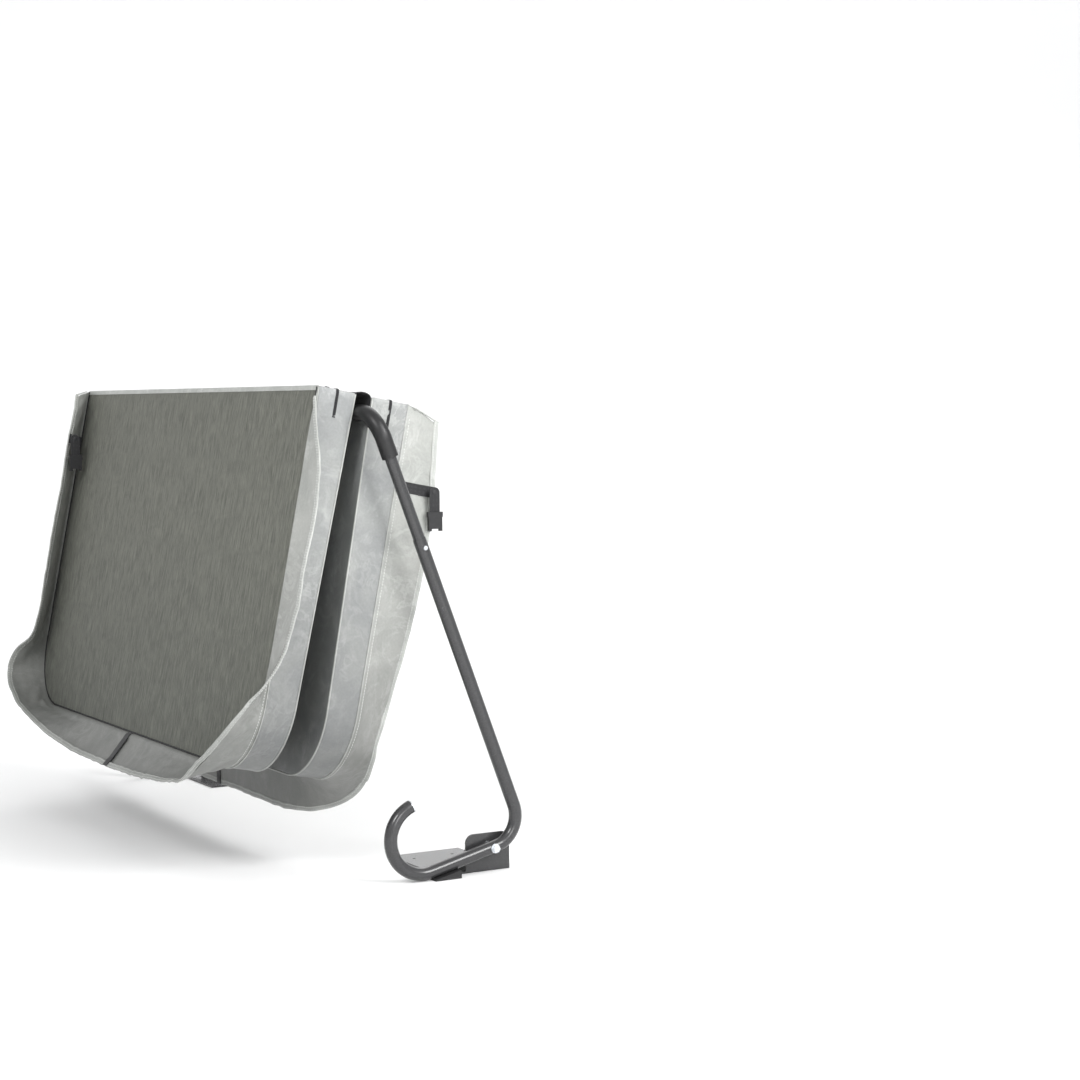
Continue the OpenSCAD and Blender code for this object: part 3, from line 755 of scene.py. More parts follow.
@dataclass(frozen=True)
class Plan:
    """The flat shape of one half: a rectangle with its two free corners rounded, tapering in thickness."""

    width: float = 1.860
    length: float = 1.040
    thick_hinge: float = 0.110
    thick_edge: float = 0.085
    corner: float = 0.200

    def top(self, s: Array) -> Array:
        """Thickness of the panel at distance s from the hinge face."""
        return self.thick_hinge + (self.thick_edge - self.thick_hinge) * s / self.length

    @property
    def leg(self) -> float:
        """Length of a straight side from the hinge to the rounded corner."""
        return self.length - self.corner

    @property
    def arc(self) -> float:
        """Length of a quarter round at a free corner."""
        return math.pi / 2.0 * self.corner

    @property
    def round(self) -> float:
        """Length of the skirted edge from the one hinge corner round to the other."""
        return 2 * self.leg + 2 * self.arc + self.width - 2 * self.corner

    def edge(self, p: Array, inset: float | Array = 0.0) -> tuple[Array, Array, Array]:
        """The edge at distance p round from the hinge corner at +x.

        Straight sides and bottom are joined by quarter circles, all moved in by inset.

        Args:
            p: Distance round the edge.
            inset: How far in from the edge.

        Returns:
            x and s of the points, and the angle that points outwards.
        """
        p = np.asarray(p, float)
        w, r, leg, arc, total = self.width / 2, self.corner, self.leg, self.arc, self.round
        zones = [p < leg, p < leg + arc, p < total - leg - arc, p < total - leg]
        turns = [0.0 * p, (p - leg) / r, 0.0 * p + math.pi / 2, math.pi - (total - leg - p) / r]
        angle = np.select(zones, turns, math.pi)
        cx = np.select([zones[1], zones[2]], [0.0 * p + w - r, w - r - (p - leg - arc)], r - w)
        cs = np.select([p < leg, p < total - leg], [p, 0.0 * p + leg], total - p)
        return cx + (r - inset) * np.cos(angle), cs + (r - inset) * np.sin(angle), angle

    def cells(self, inset: float | Array, across: int, down: int, round_rows: int) -> tuple[Array, Array]:
        """x and s of a grid that fills the flat shape, moved in by inset.

        Rows run evenly down the straight part and by even angles round the corners, each spread evenly over
        its own width.

        Args:
            inset: How far the outline is moved in, one number or one for each grid point.
            across: Points along each row.
            down: Rows in the straight part.
            round_rows: Rows in the rounded part.

        Returns:
            Two arrays of rows by points.
        """
        f = np.concatenate([np.linspace(0.0, 1.0, down), np.ones(round_rows)])[:, None]
        a = np.concatenate([np.zeros(down), np.linspace(0.0, math.pi / 2, round_rows + 1)[1:]])[:, None]
        u = np.linspace(1.0, -1.0, across)[None, :]
        r = self.corner - inset
        s = (1.0 - f) * inset + f * self.leg + r * np.sin(a)
        x = u * (self.width / 2 - self.corner + r * np.cos(a))
        return x + 0.0 * s, s + 0.0 * x


# ---------------------------------------------------------------- one half of the cover


@dataclass
class CoverHalf:
    """One folding half: foam slab in vinyl, woven underside, skirt with hem, zipper and tie-down straps."""

    half: Half
    bar: Place
    flare: Array
    strap_s: float
    strap_face: Face
    seed: int
    plan: Plan = field(default_factory=Plan)
    drop: float = 0.125
    hem: float = 0.018
    ramp: float = 0.240
    short_ramp: float = 0.026
    web: float = 0.030
    across: int = 150
    down: int = 118
    round_rows: int = 16
    pieces: list[bpy.types.Object] = field(default_factory=list)

    def __post_init__(self) -> None:
        """Set the half in its hanging place."""
        self.hang = Hang(self.half, self.bar)
        self.word = self.half.word

    def keep(self, piece: bpy.types.Object, *nodes: str, body: str | None = None) -> bpy.types.Object:
        """Hand a piece to its body and note the nodes it stands for."""
        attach(piece, body or f"{self.word}_half")
        if nodes:
            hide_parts(*nodes)
        self.pieces.append(piece)
        return piece

    # ---- the skirt's surface

    def width_at(self, p: Array) -> Array:
        """Cut width of the skirt: full, but tapered at the ends beside the hinge."""
        taper = np.minimum(0.06 + p / self.ramp, 0.04 + (self.plan.round - p) / self.short_ramp)
        return self.drop * np.minimum(1.0, taper)

    def flare_at(self, p: Array) -> Array:
        """Angle the skirt flares out at distance p, eased between its given angles, with slight waves."""
        knots, angles = self.flare[:, 0] / 1000.0, self.flare[:, 1]
        near = np.stack([np.interp(p + d, knots, angles) for d in np.linspace(-0.030, 0.030, 9)])
        wave = 1.1 * ripple(p, 0 * p, self.seed, 0.30) + 0.35 * ripple(p, 0 * p, self.seed + 1, 0.10)
        return np.radians(near.mean(axis=0) + wave)

    def skirt_grid(self, p: Array, r0: Array, r1: Array, count: int) -> Array:
        """Points of the skirt's middle layer, sewn at the seam and bending out to its flare.

        Going down from the seam the cloth turns to its flare angle within 20 mm, and its place is the sum of
        the short steps along that turning direction.

        Args:
            p: Distances round the edge.
            r0: First depth below the seam at each p.
            r1: Last depth at each p.
            count: Points down the skirt.

        Returns:
            Row-frame points, p by depth by 3.
        """
        steps = np.linspace(0.0, 1.0, 60)[None, :] * self.drop * 1.06
        angle = self.flare_at(p)[:, None] * (0.30 + 0.70 * smooth(steps, 0.0, 0.020))
        curl = 0.10 * smooth(steps, 0.07, self.drop) * np.sign(angle)
        out = np.cumsum(np.sin(angle - curl), axis=1) * steps[0, 1]
        fall = np.cumsum(np.cos(angle - curl), axis=1) * steps[0, 1]
        out, fall = out - out[:, :1], fall - fall[:, :1]
        f = np.linspace(0.0, 1.0, count)[None, :]
        depth = (r0[:, None] * (1 - f) + r1[:, None] * f) / steps[0, 1]
        low = np.clip(depth.astype(int), 0, 58)
        part = depth - low
        rows = np.arange(len(p))[:, None]
        reach = out[rows, low] * (1 - part) + out[rows, low + 1] * part
        down = fall[rows, low] * (1 - part) + fall[rows, low + 1] * part
        x, s, a = self.plan.edge(p, 0.0015)
        fallen = depth * steps[0, 1]
        pucker = 0.0011 * ripple(p[:, None], fallen, self.seed + 2, 0.055)
        reach = reach + pucker * smooth(fallen, 0.0, 0.03)
        return self.hang.row(x[:, None] + reach * np.cos(a)[:, None], s[:, None] + reach * np.sin(a)[:, None],
                             -0.0016 - down)

    @staticmethod
    def normals(grid: Array) -> Array:
        """Unit normals of a grid surface, from the cross product of its two directions of change."""
        return unit(np.cross(np.gradient(grid, axis=0), np.gradient(grid, axis=1)))

    def outward(self, grid: Array, p: Array) -> Array:
        """Normals of a skirt grid, turned to the side that faces away from the tub's wall."""
        normal = self.normals(grid)
        _, _, a = self.plan.edge(p)
        flare = self.flare_at(p)
        flat = np.stack([np.cos(flare) * np.cos(a), np.cos(flare) * np.sin(a), np.sin(flare)], axis=-1)
        side = self.hang.turn(flat)[:, None, :]
        sign = np.sign(np.sum(normal * side, axis=-1, keepdims=True))
        return normal * np.where(sign == 0, 1.0, sign)

    def rounds(self, count: int, start: float = 0.002, stop: float = 0.002) -> Array:
        """Even distances round the skirted edge."""
        return np.linspace(start, self.plan.round - stop, count)

    # ---- pieces

    def vinyl_shell(self) -> None:
        """The vinyl over the foam: top face, rounded edges, boxing and hinge face in one closed skin.

        Rings of the outline, each moved in by its own inset and set at its own height, join the top grid to
        the under grid. Soft puckers run off the seams and a sewn flap swells the ends beside the hinge.
        """
        edge_r = 0.0075
        rows = self.down + self.round_rows
        shape = (self.across, self.down, self.round_rows)
        x, s = self.plan.cells(edge_r, *shape)
        swell = 0.0009 * ripple(x, s, self.seed + 3, 0.30) + 0.0005 * ripple(x, s, self.seed + 4, 0.07)
        near = smooth(self.plan.width / 2 - np.abs(x), 0.0, 0.05)
        top = self.plan.top(s) + swell * near
        layers = [np.stack([x, s, top], axis=-1).reshape(-1, 3)]
        index = np.arange(rows * self.across).reshape(rows, self.across)
        loop = np.concatenate([index[:, 0], index[-1, 1:], index[-2::-1, -1], index[0, -2:0:-1]])
        turn = np.linspace(0.0, math.pi / 2, 6)[1:]
        under = np.linspace(0.0, 1.0, 12)[1:]
        base = rows * self.across
        count = len(loop)
        rings = []
        for a in turn:
            rings.append((edge_r * (1 - math.sin(a)), edge_r * (1 - math.cos(a)), 0.0))
        for u in under:
            rings.append((0.0, edge_r, float(u)))
        for inset, fall, u in rings:
            gx, gs = self.plan.cells(inset, *shape)
            px, ps = gx.reshape(-1)[loop], gs.reshape(-1)[loop]
            height = (self.plan.top(ps) - fall) * (1 - u) + 0.0030 * u
            lead = np.clip(self.plan.width / 2 - np.abs(px), 0, 1)
            end = smooth(0.03 - lead, 0.0, 0.02)
            flap = (1 - smooth(ps, 0.074, 0.078)) * end * smooth(ps, 0.0, 0.012)
            crumple = 0.5 + 0.5 * ripple(ps * 0.8 + height * 0.4, height * 1.3, self.seed + 5, 0.035)
            body = math.sin(math.pi * min(1.0, u + (0.12 if u == 0 else 0.0)))
            push = flap * (0.0016 + 0.0022 * crumple * body)
            along = np.where(np.abs(px) > self.plan.width / 2 - 0.02, ps, px)
            push = push + 0.0007 * ripple(along, height, self.seed + 6, 0.06) * body * (1 - flap)
            push = push - 0.0006 * body * smooth(ps, 0.08, 0.12)
            beyond = np.maximum(np.abs(px) - (self.plan.width / 2 - self.plan.corner), 1e-6)
            wide = np.cos(np.arctan2(ps - self.plan.leg, beyond))
            corner = ps > self.plan.leg
            ox = np.where(corner, wide, (np.abs(px) > self.plan.width / 2 - 0.02).astype(float)) * np.sign(px)
            os = np.where(corner, np.sqrt(np.maximum(0.0, 1 - wide ** 2)), 0.0)
            layers.append(np.stack([px + push * ox, ps + push * os, height], axis=-1))
        bx, bs = self.plan.cells(0.0012, *shape)
        layers.append(np.stack([bx, bs, np.full_like(bx, 0.0008)], axis=-1).reshape(-1, 3))
        flat = np.concatenate(layers)
        points = self.hang.row(flat[:, 0], flat[:, 1], flat[:, 2])
        faces = [quads(rows, self.across)]
        chain = [loop] + [base + count * i + np.arange(count) for i in range(len(rings))]
        last = base + count * len(rings)
        chain.append(loop + last)
        for upper, lower in zip(chain[:-1], chain[1:]):
            faces.append(np.stack([upper, np.roll(upper, -1), np.roll(lower, -1), lower], axis=1))
        faces.append(quads(rows, self.across, last)[:, ::-1])
        shell = make_piece(f"{self.word}_vinyl_shell", points, np.concatenate(faces).tolist(), Palette.SKIN,
                           crease=60.0)
        self.keep(shell, f"{self.word}_skin")

    def under_lining(self) -> None:
        """The woven underside, stretched flat, with faint slack waves that run diagonally near the hinge."""
        x, s = self.plan.cells(0.0016, self.across, self.down, self.round_rows)
        slack = 0.0010 * ripple(x, s * 0.6, self.seed + 7, 0.22) + 0.0004 * ripple(x, s, self.seed + 8, 0.06)
        near = smooth(x, 0.05, 0.75) * (1 - smooth(s, 0.18, 0.52)) * smooth(s, 0.01, 0.06)
        drift = 1.2 * ripple(x, s, self.seed + 9, 0.3)
        slack = slack + 0.0016 * near * np.sin(2 * math.pi * (0.55 * x + s) / 0.085 + drift)
        side = smooth(self.plan.width / 2 - np.abs(x), 0.0, 0.05)
        side = side * smooth(self.plan.length - s, 0.0, 0.05) * smooth(s, 0, 0.03)
        face = self.hang.row(x, s, -0.0012 - 0.45 * (slack + 0.0026) * side)
        back = self.hang.row(x, s, 0.0018 + 0 * x)
        lining = closed_sheet(f"{self.word}_under_lining", face, back, Palette.LINING)
        self.keep(lining, f"{self.word}_lining")

    def edge_trim(self) -> None:
        """Piping on the top seam, bead and dark welt at the skirt's seam, vinyl turned over at the hinge. The
        dark welt is partly painted shadow for the crease between lining and skirt.
        """
        leg, arc, whole = self.plan.leg, self.plan.arc, self.plan.round
        knots = [0.003, leg, leg + arc, whole - leg - arc, whole - leg, whole - 0.003]
        counts = [70, 26, 80, 26, 70]
        p = np.concatenate([np.linspace(a, b, n)[:-1] for a, b, n in zip(knots[:-1], knots[1:], counts)]
                           + [np.array(knots[-1:])])
        x, s, a = self.plan.edge(p, 0.0016)
        zero = np.zeros_like(a)
        out = self.hang.turn(np.stack([np.cos(a), np.sin(a), zero], axis=-1))
        up = self.hang.turn(np.stack([zero, zero, zero + 1.0], axis=-1))
        path = self.hang.row(x, s, self.plan.top(s) - 0.0016)
        points, faces = carried(path, out, up, ring(0.0026, 10))
        self.keep(make_piece(f"{self.word}_edge_piping", points, faces, Palette.HEM))
        # The black welt is partly a real seam cord and partly painted shadow, laid where the crease between
        # lining and skirt is in shade
        path = self.hang.row(*self.plan.edge(p, 0.0052)[:2], np.full_like(p, -0.0022))
        points, faces = carried(path, out, up, ring(0.0024, 8))
        self.keep(make_piece(f"{self.word}_seam_welt", points, faces, Palette.WELT))
        path = self.hang.row(*self.plan.edge(p, -0.0004)[:2], np.full_like(p, 0.0006))
        points, faces = carried(path, out, up, ring(0.0021, 8))
        self.keep(make_piece(f"{self.word}_seam_bead", points, faces, Palette.HEM))
        u = np.linspace(-self.plan.width / 2 + 0.003, self.plan.width / 2 - 0.003, 160)
        v = np.linspace(-0.0012, 0.0125, 8)
        gx, gs = np.meshgrid(u, v, indexing="ij")
        lift = 0.0004 * ripple(gx, gs, self.seed + 10, 0.05)
        roll = 0.0025 * (1 - smooth(gs, -0.0012, 0.003))
        face = self.hang.row(gx, gs, -0.0026 + lift + roll)
        back = self.hang.row(gx, gs, -0.0010 + 0.6 * roll)
        self.keep(closed_sheet(f"{self.word}_hinge_turnover", face, back, Palette.HEM))

    def skirt(self) -> None:
        """The skirt below the seam, its bound hem and two rows of stitches on each face of the hem."""
        p = self.rounds(420)
        full = self.width_at(p)
        inner = np.maximum(full - self.hem + 0.003, 0.0005)
        middle = self.skirt_grid(p, 0 * p, inner, 16)
        middle = settle(middle, 3, 9, 0.10, 0.004)
        normal = self.outward(middle, p)
        depth = np.linspace(0, 1, 16)[None, :] * inner[:, None]
        run = np.stack(np.broadcast_arrays(p[:, None], depth), axis=-1)
        skirt = closed_sheet(f"{self.word}_skirt_vinyl", middle + normal * 0.0012, middle - normal * 0.0012,
                             Palette.SKIRT, run)
        self.keep(skirt, f"{self.word}_skirt")
        start, stop = 0.030, 0.0045
        p = self.rounds(520, start, stop)
        full = self.width_at(p)
        band = self.skirt_grid(p, full - self.hem, full, 3)
        normal = self.outward(band, p)[:, 1]
        down = unit(band[:, 2] - band[:, 0])
        points, faces = carried(band[:, 1], down, normal, rounded_bar(self.hem, 0.0046, 0.0021))
        hem = make_piece(f"{self.word}_hem_binding", points, faces, Palette.HEM)
        self.keep(hem, f"{self.word}_hem")
        rows = []
        q = np.arange(start + 0.006, self.plan.round - stop - 0.004, 0.0072)
        full = self.width_at(q)
        for depth in (0.0042, 0.0135):
            line = self.skirt_grid(q, full - depth - 0.001, full - depth + 0.001, 3)
            out = self.outward(line, q)[:, 1]
            along = unit(np.gradient(line[:, 1], axis=0))
            for side in (1.0, -1.0):
                across = unit(np.cross(along, out * side))
                rows.append((line[:, 1] + out * side * 0.0022, along, across, out * side))
        parts = [np.concatenate([row[i] for row in rows]) for i in range(4)]
        thread = self.keep(stitches(f"{self.word}_hem_stitches", *parts, Palette.THREAD))
        q = np.arange(0.040, self.plan.round - 0.040, 0.0080)
        line = self.skirt_grid(q, 0 * q + 0.0070, 0 * q + 0.0090, 3)
        out = self.outward(line, q)[:, 1]
        along = unit(np.gradient(line[:, 1], axis=0))
        across = unit(np.cross(along, out))
        self.keep(stitches(f"{self.word}_seam_stitches", line[:, 1] + out * 0.0011, along, across, out,
                           Palette.THREAD, 0.0052, 0.0013))

    def zipper(self) -> None:
        """Zipper tape round the hinge face and down both ends, with its two rows of teeth."""
        w, end, mid = self.plan.width / 2, 0.075, self.plan.thick_hinge / 2
        proud = 0.0010
        side = np.linspace(end, 0.004, 16)
        corner = np.linspace(0.0, math.pi / 2, 7)[1:-1]
        hinge = np.linspace(w - 0.004, -w + 0.004, 190)
        r = 0.004 + proud
        x = np.concatenate([np.full(16, w + proud), w - 0.004 + r * np.cos(corner), hinge,
                            -(w - 0.004) - r * np.sin(corner), np.full(16, -w - proud)])
        s = np.concatenate([side, 0.004 - r * np.sin(corner), np.full(190, -proud),
                            0.004 - r * np.cos(corner), side[::-1]])
        bulge = 0.0019 * ((s > 0.006) & (s < 0.08))
        x = x + np.sign(x) * bulge
        flat = np.stack([x, s, np.full_like(x, mid)], axis=-1)
        along = unit(np.gradient(flat, axis=0))
        off = np.stack([-along[:, 1], along[:, 0], 0 * x], axis=-1)
        ends = (s > 0.004)[:, None]
        off = off * np.sign(off[:, :1] * x[:, None] * ends - off[:, 1:2] * ~ends + 1e-9)
        rise = np.zeros_like(flat)
        rise[:, 2] = 1.0
        path = self.hang.row(*flat.T)
        tape = rounded_bar(0.0085, 0.0012, 0.0005)
        points, faces = carried(path, self.hang.turn(rise), self.hang.turn(off), tape)
        length = run_along(flat)
        uv = np.stack(np.broadcast_arrays(length[:, None], tape[None, :, 0]), axis=-1).reshape(-1, 2)
        self.keep(make_piece(f"{self.word}_zip_tape", points, faces, Palette.TAPE, uv), f"{self.word}_zipper")
        q = np.arange(0.004, length[-1] - 0.004, 0.0030)
        tooth = np.stack([np.interp(q, length, flat[:, i]) for i in range(3)], axis=-1)
        tooth[:, 2] += np.where(np.arange(len(q)) % 2 == 0, 0.0009, -0.0009)
        go = np.stack([np.interp(q, length, along[:, i]) for i in range(3)], axis=-1)
        lift = np.stack([np.interp(q, length, off[:, i]) for i in range(3)], axis=-1)
        across = np.cross(unit(lift), unit(go))
        feet = self.hang.row(*(tooth + unit(lift) * 0.0008).T)
        facing = [self.hang.turn(v) for v in (unit(go), across, unit(lift))]
        self.keep(stitches(f"{self.word}_zip_teeth", feet, *facing, Palette.PLASTIC, 0.0022, 0.0042, 0.0011))

    def strap_points(self) -> tuple[float, float]:
        """Distances round the edge of the side strap and of the centre strap."""
        return self.plan.round - self.strap_s, self.plan.round / 2

    def cad_surface(self, p: float, r: float, off: float) -> Array:
        """Row-frame point of the plain skirt: r down its straight slope, off across its thickness."""
        knots, angles = self.flare[:, 0], self.flare[:, 2]
        f = math.radians(float(np.interp(p * 1000, knots, angles)))
        x, s, a = self.plan.edge(np.array([p]), 0.0015)
        reach = r * math.sin(f) + off * math.cos(f)
        down = -0.0016 - r * math.cos(f) + off * math.sin(f)
        return self.hang.row(x + reach * np.cos(a), s + reach * np.sin(a), down)[0]

    def straps(self) -> None:
        """Webbing sewn over the skirt, its bar-tacks, the rivet of the side strap and its hanging tail."""
        face = float(self.strap_face.value)
        for place, p0 in zip(("side", "edge"), self.strap_points()):
            p = np.linspace(p0 - self.web / 2, p0 + self.web / 2, 9)
            full = np.full_like(p, self.drop - 0.0005)
            grid = self.skirt_grid(p, 0 * p + 0.0005, full, 30)
            normal = self.outward(grid, p) * face
            depth = np.linspace(0, 1, 30)[None, :, None] * self.drop
            lift = 0.0021 + 0.0012 * smooth(depth, self.drop - self.hem - 0.006, self.drop - self.hem)
            uv = np.stack(np.broadcast_arrays(depth[..., 0], (p - p0)[:, None]), axis=-1)
            band = closed_sheet(f"{self.word}_{place}_strap_band", grid + normal * (lift + 0.0013),
                                grid + normal * lift, Palette.WEBBING, uv)
            nodes = (f"{self.word}_strap_bands",) if place == "side" else ()
            self.keep(band, *nodes)
            rows = []
            for f0 in (1, 2, 24, 25, 27):
                q = np.linspace(1, 7, 13)
                line = np.stack([np.interp(q, np.arange(9), grid[:, f0, i]) for i in range(3)], axis=-1)
                out = np.repeat(normal[4:5, f0], len(q), axis=0)
                height = float(np.asarray(lift)[0, f0, 0]) + 0.0012
                along = unit(np.gradient(line, axis=0))
                rows.append((line + out * height, along, unit(np.cross(along, out)), out))
            parts = [np.concatenate([row[i] for row in rows]) for i in range(4)]
            self.keep(stitches(f"{self.word}_{place}_strap_tacks", *parts, Palette.DARK_THREAD,
                               0.0030, 0.0008, 0.0006))
        self.side_tail(face)

    def side_tail(self, face: float) -> None:
        """The side strap's rivet and its loose end: a flat strap with a round head, hanging plumb."""
        low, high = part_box(f"{self.word}_side_tail")
        x0 = (low.x + high.x) / 2
        pivot = joint_at(f"{self.word}_side_strap_swing")
        band = self.cad_surface(self.strap_points()[0], self.drop - 0.013, 0.0032 if face > 0 else -0.0032)
        toward = 1.0 if x0 > band[0] else -1.0
        ends = (band[0] - toward * 0.002, x0 - toward * 0.0009, x0 + toward * 0.0010, x0 + toward * 0.0028)
        turn = np.arange(20) * 2 * math.pi / 20
        rs = np.array([0.0029, 0.0029, 0.0029, 0.0062, 0.0062, 0.0030])
        xs = np.array([ends[0], ends[1], ends[2], ends[2], ends[2] + toward * 0.0012, ends[3]])
        pin = np.stack([np.repeat(xs[:, None], 20, 1), pivot[1] + rs[:, None] * np.cos(turn),
                        pivot[2] + rs[:, None] * np.sin(turn)], axis=-1)
        faces = quads(6, 20, 0, True).tolist() + [list(range(20)), list(range(100, 120))[::-1]]
        self.keep(make_piece(f"{self.word}_side_strap_rivet", pin.reshape(-1, 3), faces, Palette.PLASTIC,
                             crease=35.0))
        v = np.linspace(0.0, 1.0, 40)
        z = 0.0149 - v * (0.0149 + 0.0578)
        half = np.where(z > 0, np.sqrt(np.maximum(0.015 ** 2 - z ** 2, 1e-8)), 0.015)
        u = np.linspace(-1.0, 1.0, 9)
        y = pivot[1] + u[None, :] * half[:, None]
        sway = 0.0003 * np.sin(v * 5.0)[:, None] + 0 * y
        depth = pivot[2] + z[:, None] + 0 * y
        front = np.stack([x0 + sway + 0.00085, y, depth], axis=-1)
        back = np.stack([x0 + sway - 0.00085, y, depth], axis=-1)
        uv = np.stack(np.broadcast_arrays(z[:, None], u[None, :] * 0.015), axis=-1)
        tail = closed_sheet(f"{self.word}_side_strap_tail", front, back, Palette.WEBBING, uv)
        self.keep(tail, f"{self.word}_side_tail", body=f"{self.word}_side_strap")

    def build(self) -> None:
        """Make every piece of the half in sewing order."""
        self.vinyl_shell()
        self.under_lining()
        self.edge_trim()
        self.skirt()
        self.zipper()
        self.straps()
        log.info("%s half: %d pieces", self.word, len(self.pieces))


# ---------------------------------------------------------------- between the halves


@dataclass
class FoldFabric:
    """The cloth that joins the halves over the fold, and the loops that carry the bar."""

    bar: Place
    lean: float = math.radians(11.5)
    gap: float = 0.024
    rise: float = 0.048
    length: float = 1.844
    bar_radius: float = 0.018
    loop_width: float = 0.060

    def row(self, x: Array, y: Array, z: Array) -> Array:
        """Row-frame points of measures taken off the bar's axis, leaning with the cover."""
        x, y, z = np.broadcast_arrays(x, y, z)
        c, n = math.cos(self.lean), math.sin(self.lean)
        return np.stack([self.bar[0] + x, self.bar[1] + c * y + n * z, self.bar[2] - n * y + c * z], axis=-1)

    def over_fold(self) -> None:
        """A strip that climbs one top face, arches over the fold and runs down the other.

        Its section is two straight legs joined by a low half ellipse, with slack waves along the fold.
        """
        w = self.gap - 0.0011
        leg = np.linspace(self.rise - 0.024, self.rise - 0.002, 9)
        a = np.linspace(0.0, math.pi, 27)[1:-1]
        y = np.concatenate([np.full(9, w), w * np.cos(a), np.full(9, -w)])
        z = np.concatenate([leg, self.rise - 0.002 + 0.0115 * np.sin(a), leg[::-1]])
        section = np.stack([y, z], axis=-1)
        tangent = unit(np.gradient(section, axis=0))
        normal = np.stack([tangent[:, 1], -tangent[:, 0]], axis=-1)
        x = np.linspace(-self.length / 2, self.length / 2, 200)
        arch = np.concatenate([np.zeros(9), np.sin(a), np.zeros(9)])
        sag = 0.0009 * ripple(x[:, None], np.linspace(0, 0.06, len(y))[None, :], 71, 0.12) * arch[None, :]
        run = run_along(section)

        def layer(off: float) -> Array:
            """One face of the strip, off its middle."""
            return self.row(x[:, None], (y + normal[:, 0] * off)[None, :] + 0 * x[:, None],
                            (z + normal[:, 1] * off)[None, :] + sag - 0.0009)

        uv = np.stack(np.broadcast_arrays(run[None, :], x[:, None]), axis=-1)
        strip = closed_sheet("fold_fabric", layer(0.0007), layer(-0.0007), Palette.HINGE, uv)
        start = self.row(np.array(0.0), np.array(w), np.array(self.rise + 0.006))
        stop = self.row(np.array(0.0), np.array(-w), np.array(self.rise + 0.006))
        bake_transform(strip)
        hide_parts("hinge_strip")

    def loops(self) -> None:
        """Three webbing loops: round the bar, then back to a tab sewn on the rear half's top face."""
        r = self.bar_radius + 0.0010
        a = np.linspace(-math.pi / 2, -3 * math.pi / 2, 33)
        tab = np.array([[0.0211, -0.0400], [0.0211, -0.0270], [0.0209, -0.0222], [0.0195, -0.0200],
                        [0.0150, -0.0192], [0.0080, -0.0190]])
        back = np.array([[0.0080, 0.0190], [0.0150, 0.0190], [0.0200, 0.0180], [0.0224, 0.0145],
                         [0.0230, 0.0080], [0.0230, -0.0150], [0.0230, -0.0410]])
        y, z = np.concatenate([tab, np.stack([r * np.cos(a), r * np.sin(a)], axis=-1), back]).T
        fine = np.linspace(0, len(y) - 1, 110)
        y, z = (np.interp(fine, np.arange(len(y)), v) for v in (y, z))
        section = np.stack([y, z], axis=-1)
        run = run_along(section)
        tangent = unit(np.gradient(section, axis=0))
        normal = np.stack([tangent[:, 1], -tangent[:, 0]], axis=-1)
        for word, x0 in (("left", -0.6), ("middle", 0.0), ("right", 0.6)):
            x = np.linspace(-self.loop_width / 2, self.loop_width / 2, 13)
            faces = [self.row(x0 + x[:, None], (y + normal[:, 0] * off)[None, :],
                              (z + normal[:, 1] * off)[None, :]) for off in (0.0007, -0.0007)]
            uv = np.stack(np.broadcast_arrays(run[None, :], x[:, None]), axis=-1)
            loop = closed_sheet(f"{word}_bar_loop", faces[0], faces[1], Palette.WEBBING, uv)
            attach(loop, "rear_half")
            if word == "left":
                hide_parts("bar_loops")

    def build(self) -> None:
        """Make the strip over the fold and the loops."""
        self.over_fold()
        self.loops()


@dataclass
class LifterFinish:
    """Dresses the steel lifter, its fittings and the hidden parts of the cover."""

    def build(self) -> None:
        """Give each node of the fixed frame the material of its own kind."""
        kinds: list[tuple[tuple[str, ...], object]] = [
            (("bracket", "gussets", "pivot_tube", "corner_tube", "crossbar_tube"), Palette.TUBE),
            (("pivot_bolt", "pivot_nut", "pivot_washers", "end_plug", "joint_screws"), Palette.ZINC),
            (("stop_pad",), Palette.RUBBER),
            (("bend_sleeve",), Palette.SLEEVE),
            (("bushing", "buckle", "zip_slider", "zip_pull"), Palette.PLASTIC),
            (("core",), Palette.FOAM),
            (("vapour_film",), Palette.FILM),
            (("hinge_channel",), Palette.GALVANISED),
        ]
        for name, node in frame["nodes"].items():
            for words, finish in kinds:
                if any(name.endswith(word) for word in words):
                    node.data.materials.clear()
                    node.data.materials.append(PALETTE.get(finish))
                    log.info("%s: %s", name, finish.name)
                    break


# ---------------------------------------------------------------- studio


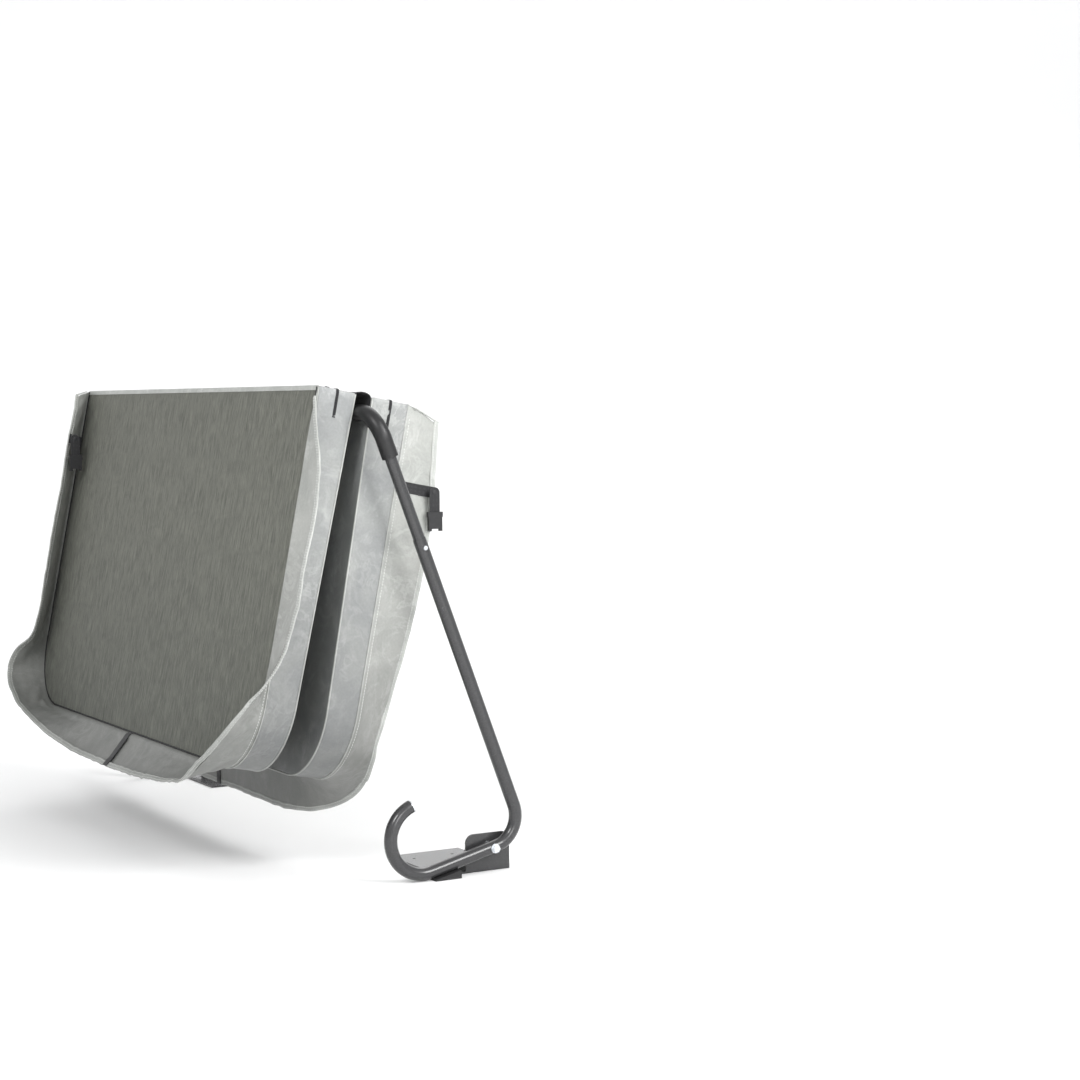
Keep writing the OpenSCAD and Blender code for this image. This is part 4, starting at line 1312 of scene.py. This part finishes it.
@dataclass
class Studio:
    """Pale floor, soft lights and the camera."""

    bar: Place
    eye: Place = (6.376, -2.560, 0.037)
    yaw: float = 60.35
    pitch: float = 3.63
    roll: float = -0.71
    lens: float = 75.27

    def floor(self) -> None:
        """A wide floor that curves up into a far wall: flat, then a quarter round, then upright."""
        a = np.linspace(0.0, math.pi / 2, 16)
        run = np.concatenate([[-9.0], 5.0 + 4.0 * np.sin(a), [9.0]])
        rise = np.concatenate([[0.0], 4.0 - 4.0 * np.cos(a), [12.0]])
        yaw = math.radians(self.yaw)
        away = np.array([-math.sin(yaw), math.cos(yaw)])
        side = np.array([math.cos(yaw), math.sin(yaw)])
        v = np.linspace(-14.0, 14.0, 12)
        level = away * run[:, None, None] + side * v[None, :, None]
        height = np.broadcast_to(rise[:, None, None] - 0.0005, (*level.shape[:2], 1))
        points = np.concatenate([level, height], axis=-1)
        mesh = bpy.data.meshes.new("studio_floor")
        mesh.from_pydata(points.reshape(-1, 3).tolist(), [], quads(*points.shape[:2]).tolist())
        mesh.shade_smooth()
        mesh.materials.append(PALETTE.get(Palette.FLOOR))
        floor = bpy.data.objects.new("studio_floor", mesh)
        bpy.context.scene.collection.objects.link(floor)

    def lamp(self, name: str, place: Place, aim: Place, size: float, power: float) -> None:
        """One square soft light at place, aimed at a point."""
        data = bpy.data.lights.new(name, "AREA")
        data.shape, data.size, data.energy = "SQUARE", size, power
        light = bpy.data.objects.new(name, data)
        light.location = place
        light.rotation_euler = (Vector(aim) - Vector(place)).to_track_quat("-Z", "Y").to_euler()
        bpy.context.scene.collection.objects.link(light)

    def camera(self) -> None:
        """The camera, turned by its yaw, pitch and roll about the eye point."""
        y, p, r = (math.radians(v) for v in (self.yaw, self.pitch, self.roll))
        ahead = Vector((-math.sin(y) * math.cos(p), math.cos(y) * math.cos(p), -math.sin(p)))
        level = Vector((math.cos(y), math.sin(y), 0.0))
        above = level.cross(ahead)
        right = level * math.cos(r) + above * math.sin(r)
        up = above * math.cos(r) - level * math.sin(r)
        data = bpy.data.cameras.new("camera")
        data.lens, data.sensor_width, data.sensor_fit = self.lens, 36.0, "HORIZONTAL"
        data.clip_start, data.clip_end = 0.05, 100.0
        cam = bpy.data.objects.new("camera", data)
        turn = Matrix((right, up, -ahead)).transposed().to_4x4()
        cam.matrix_world = Matrix.Translation(Vector(self.bar) + Vector(self.eye)) @ turn
        bpy.context.scene.collection.objects.link(cam)
        bpy.context.scene.camera = cam

    def build(self) -> None:
        """Set the floor, the lights, the sky and the camera."""
        self.floor()
        self.lamp("key", (4.5, -5.5, 5.5), (0.0, 0.0, 0.6), 2.2, 230.0)
        self.lamp("side", (6.5, 2.5, 4.5), (0.2, 0.0, 0.7), 3.0, 400.0)
        self.lamp("far", (6.0, -0.5, 1.6), (-0.9, -0.2, 0.9), 1.6, 60.0)
        self.lamp("back", (-4.5, 4.0, 6.0), (-1.0, 1.0, 0.0), 5.0, 160.0)
        world = bpy.data.worlds.new("studio_sky")
        world.use_nodes = True
        world.node_tree.nodes["Background"].inputs["Color"].default_value = (0.90, 0.905, 0.91, 1.0)
        world.node_tree.nodes["Background"].inputs["Strength"].default_value = 0.88
        bpy.context.scene.world = world
        bpy.context.scene.view_settings.view_transform = "Standard"
        self.camera()


# ---------------------------------------------------------------- assembly

# Distance round the edge in millimetres, the angle the cloth flares out, and the fixed frame's plain angle.
FRONT_FLARE = np.array([
    [0, 84, 50], [200, 92, 57], [400, 95, 57], [600, 93, 57], [700, 87, 57], [750, 78, 57], [800, 66, 54],
    [850, 47, 48], [900, 28, 28], [950, 15, 15], [1000, 8, 8], [1060, 6, 6], [1110, 14, 14],
    [1150, 24, 24], [1200, 33, 33], [1300, 38, 38], [1400, 44, 44], [1500, 50, 50], [1650, 58, 58],
    [1850, 62, 62], [2080, 62, 62], [2200, 56, 56], [2300, 43, 43], [2400, 34, 34], [2500, 21, 21],
    [2600, 8, 8], [2700, 1, 1], [2800, 10, 10], [2860, -18, -18], [2930, -50, -50], [3000, -56, -56],
    [3800, -56, -56]], float)
REAR_FLARE = np.array([
    [0, 8, 8], [400, 5, 5], [840, 0, 0], [950, 14, 14], [1150, 50, 50], [1350, 74, 74], [1884, 78, 78],
    [2300, 80, 78], [2400, 78, 74], [2500, 60, 58], [2600, 31, 30], [2700, -10, -8], [2800, -28, -27],
    [2900, -31, -30], [3000, -24, -24], [3100, -16, -16], [3200, -8, -8], [3300, -2, -2], [3400, 1, 1],
    [3500, -3, -3], [3600, -12, -12], [3700, -21, -20], [3800, -25, -24]], float)


def main() -> None:
    """Build the sub-assemblies in order."""
    bar = tuple(float(v) for v in joint_at("cover_swing"))
    Studio(bar).build()
    LifterFinish().build()
    CoverHalf(Half.FRONT, bar, FRONT_FLARE, 0.172, Face.INNER, 11).build()
    CoverHalf(Half.REAR, bar, REAR_FLARE, 0.220, Face.OUTER, 43).build()
    FoldFabric(bar).build()


if __name__ == "__main__":
    main()
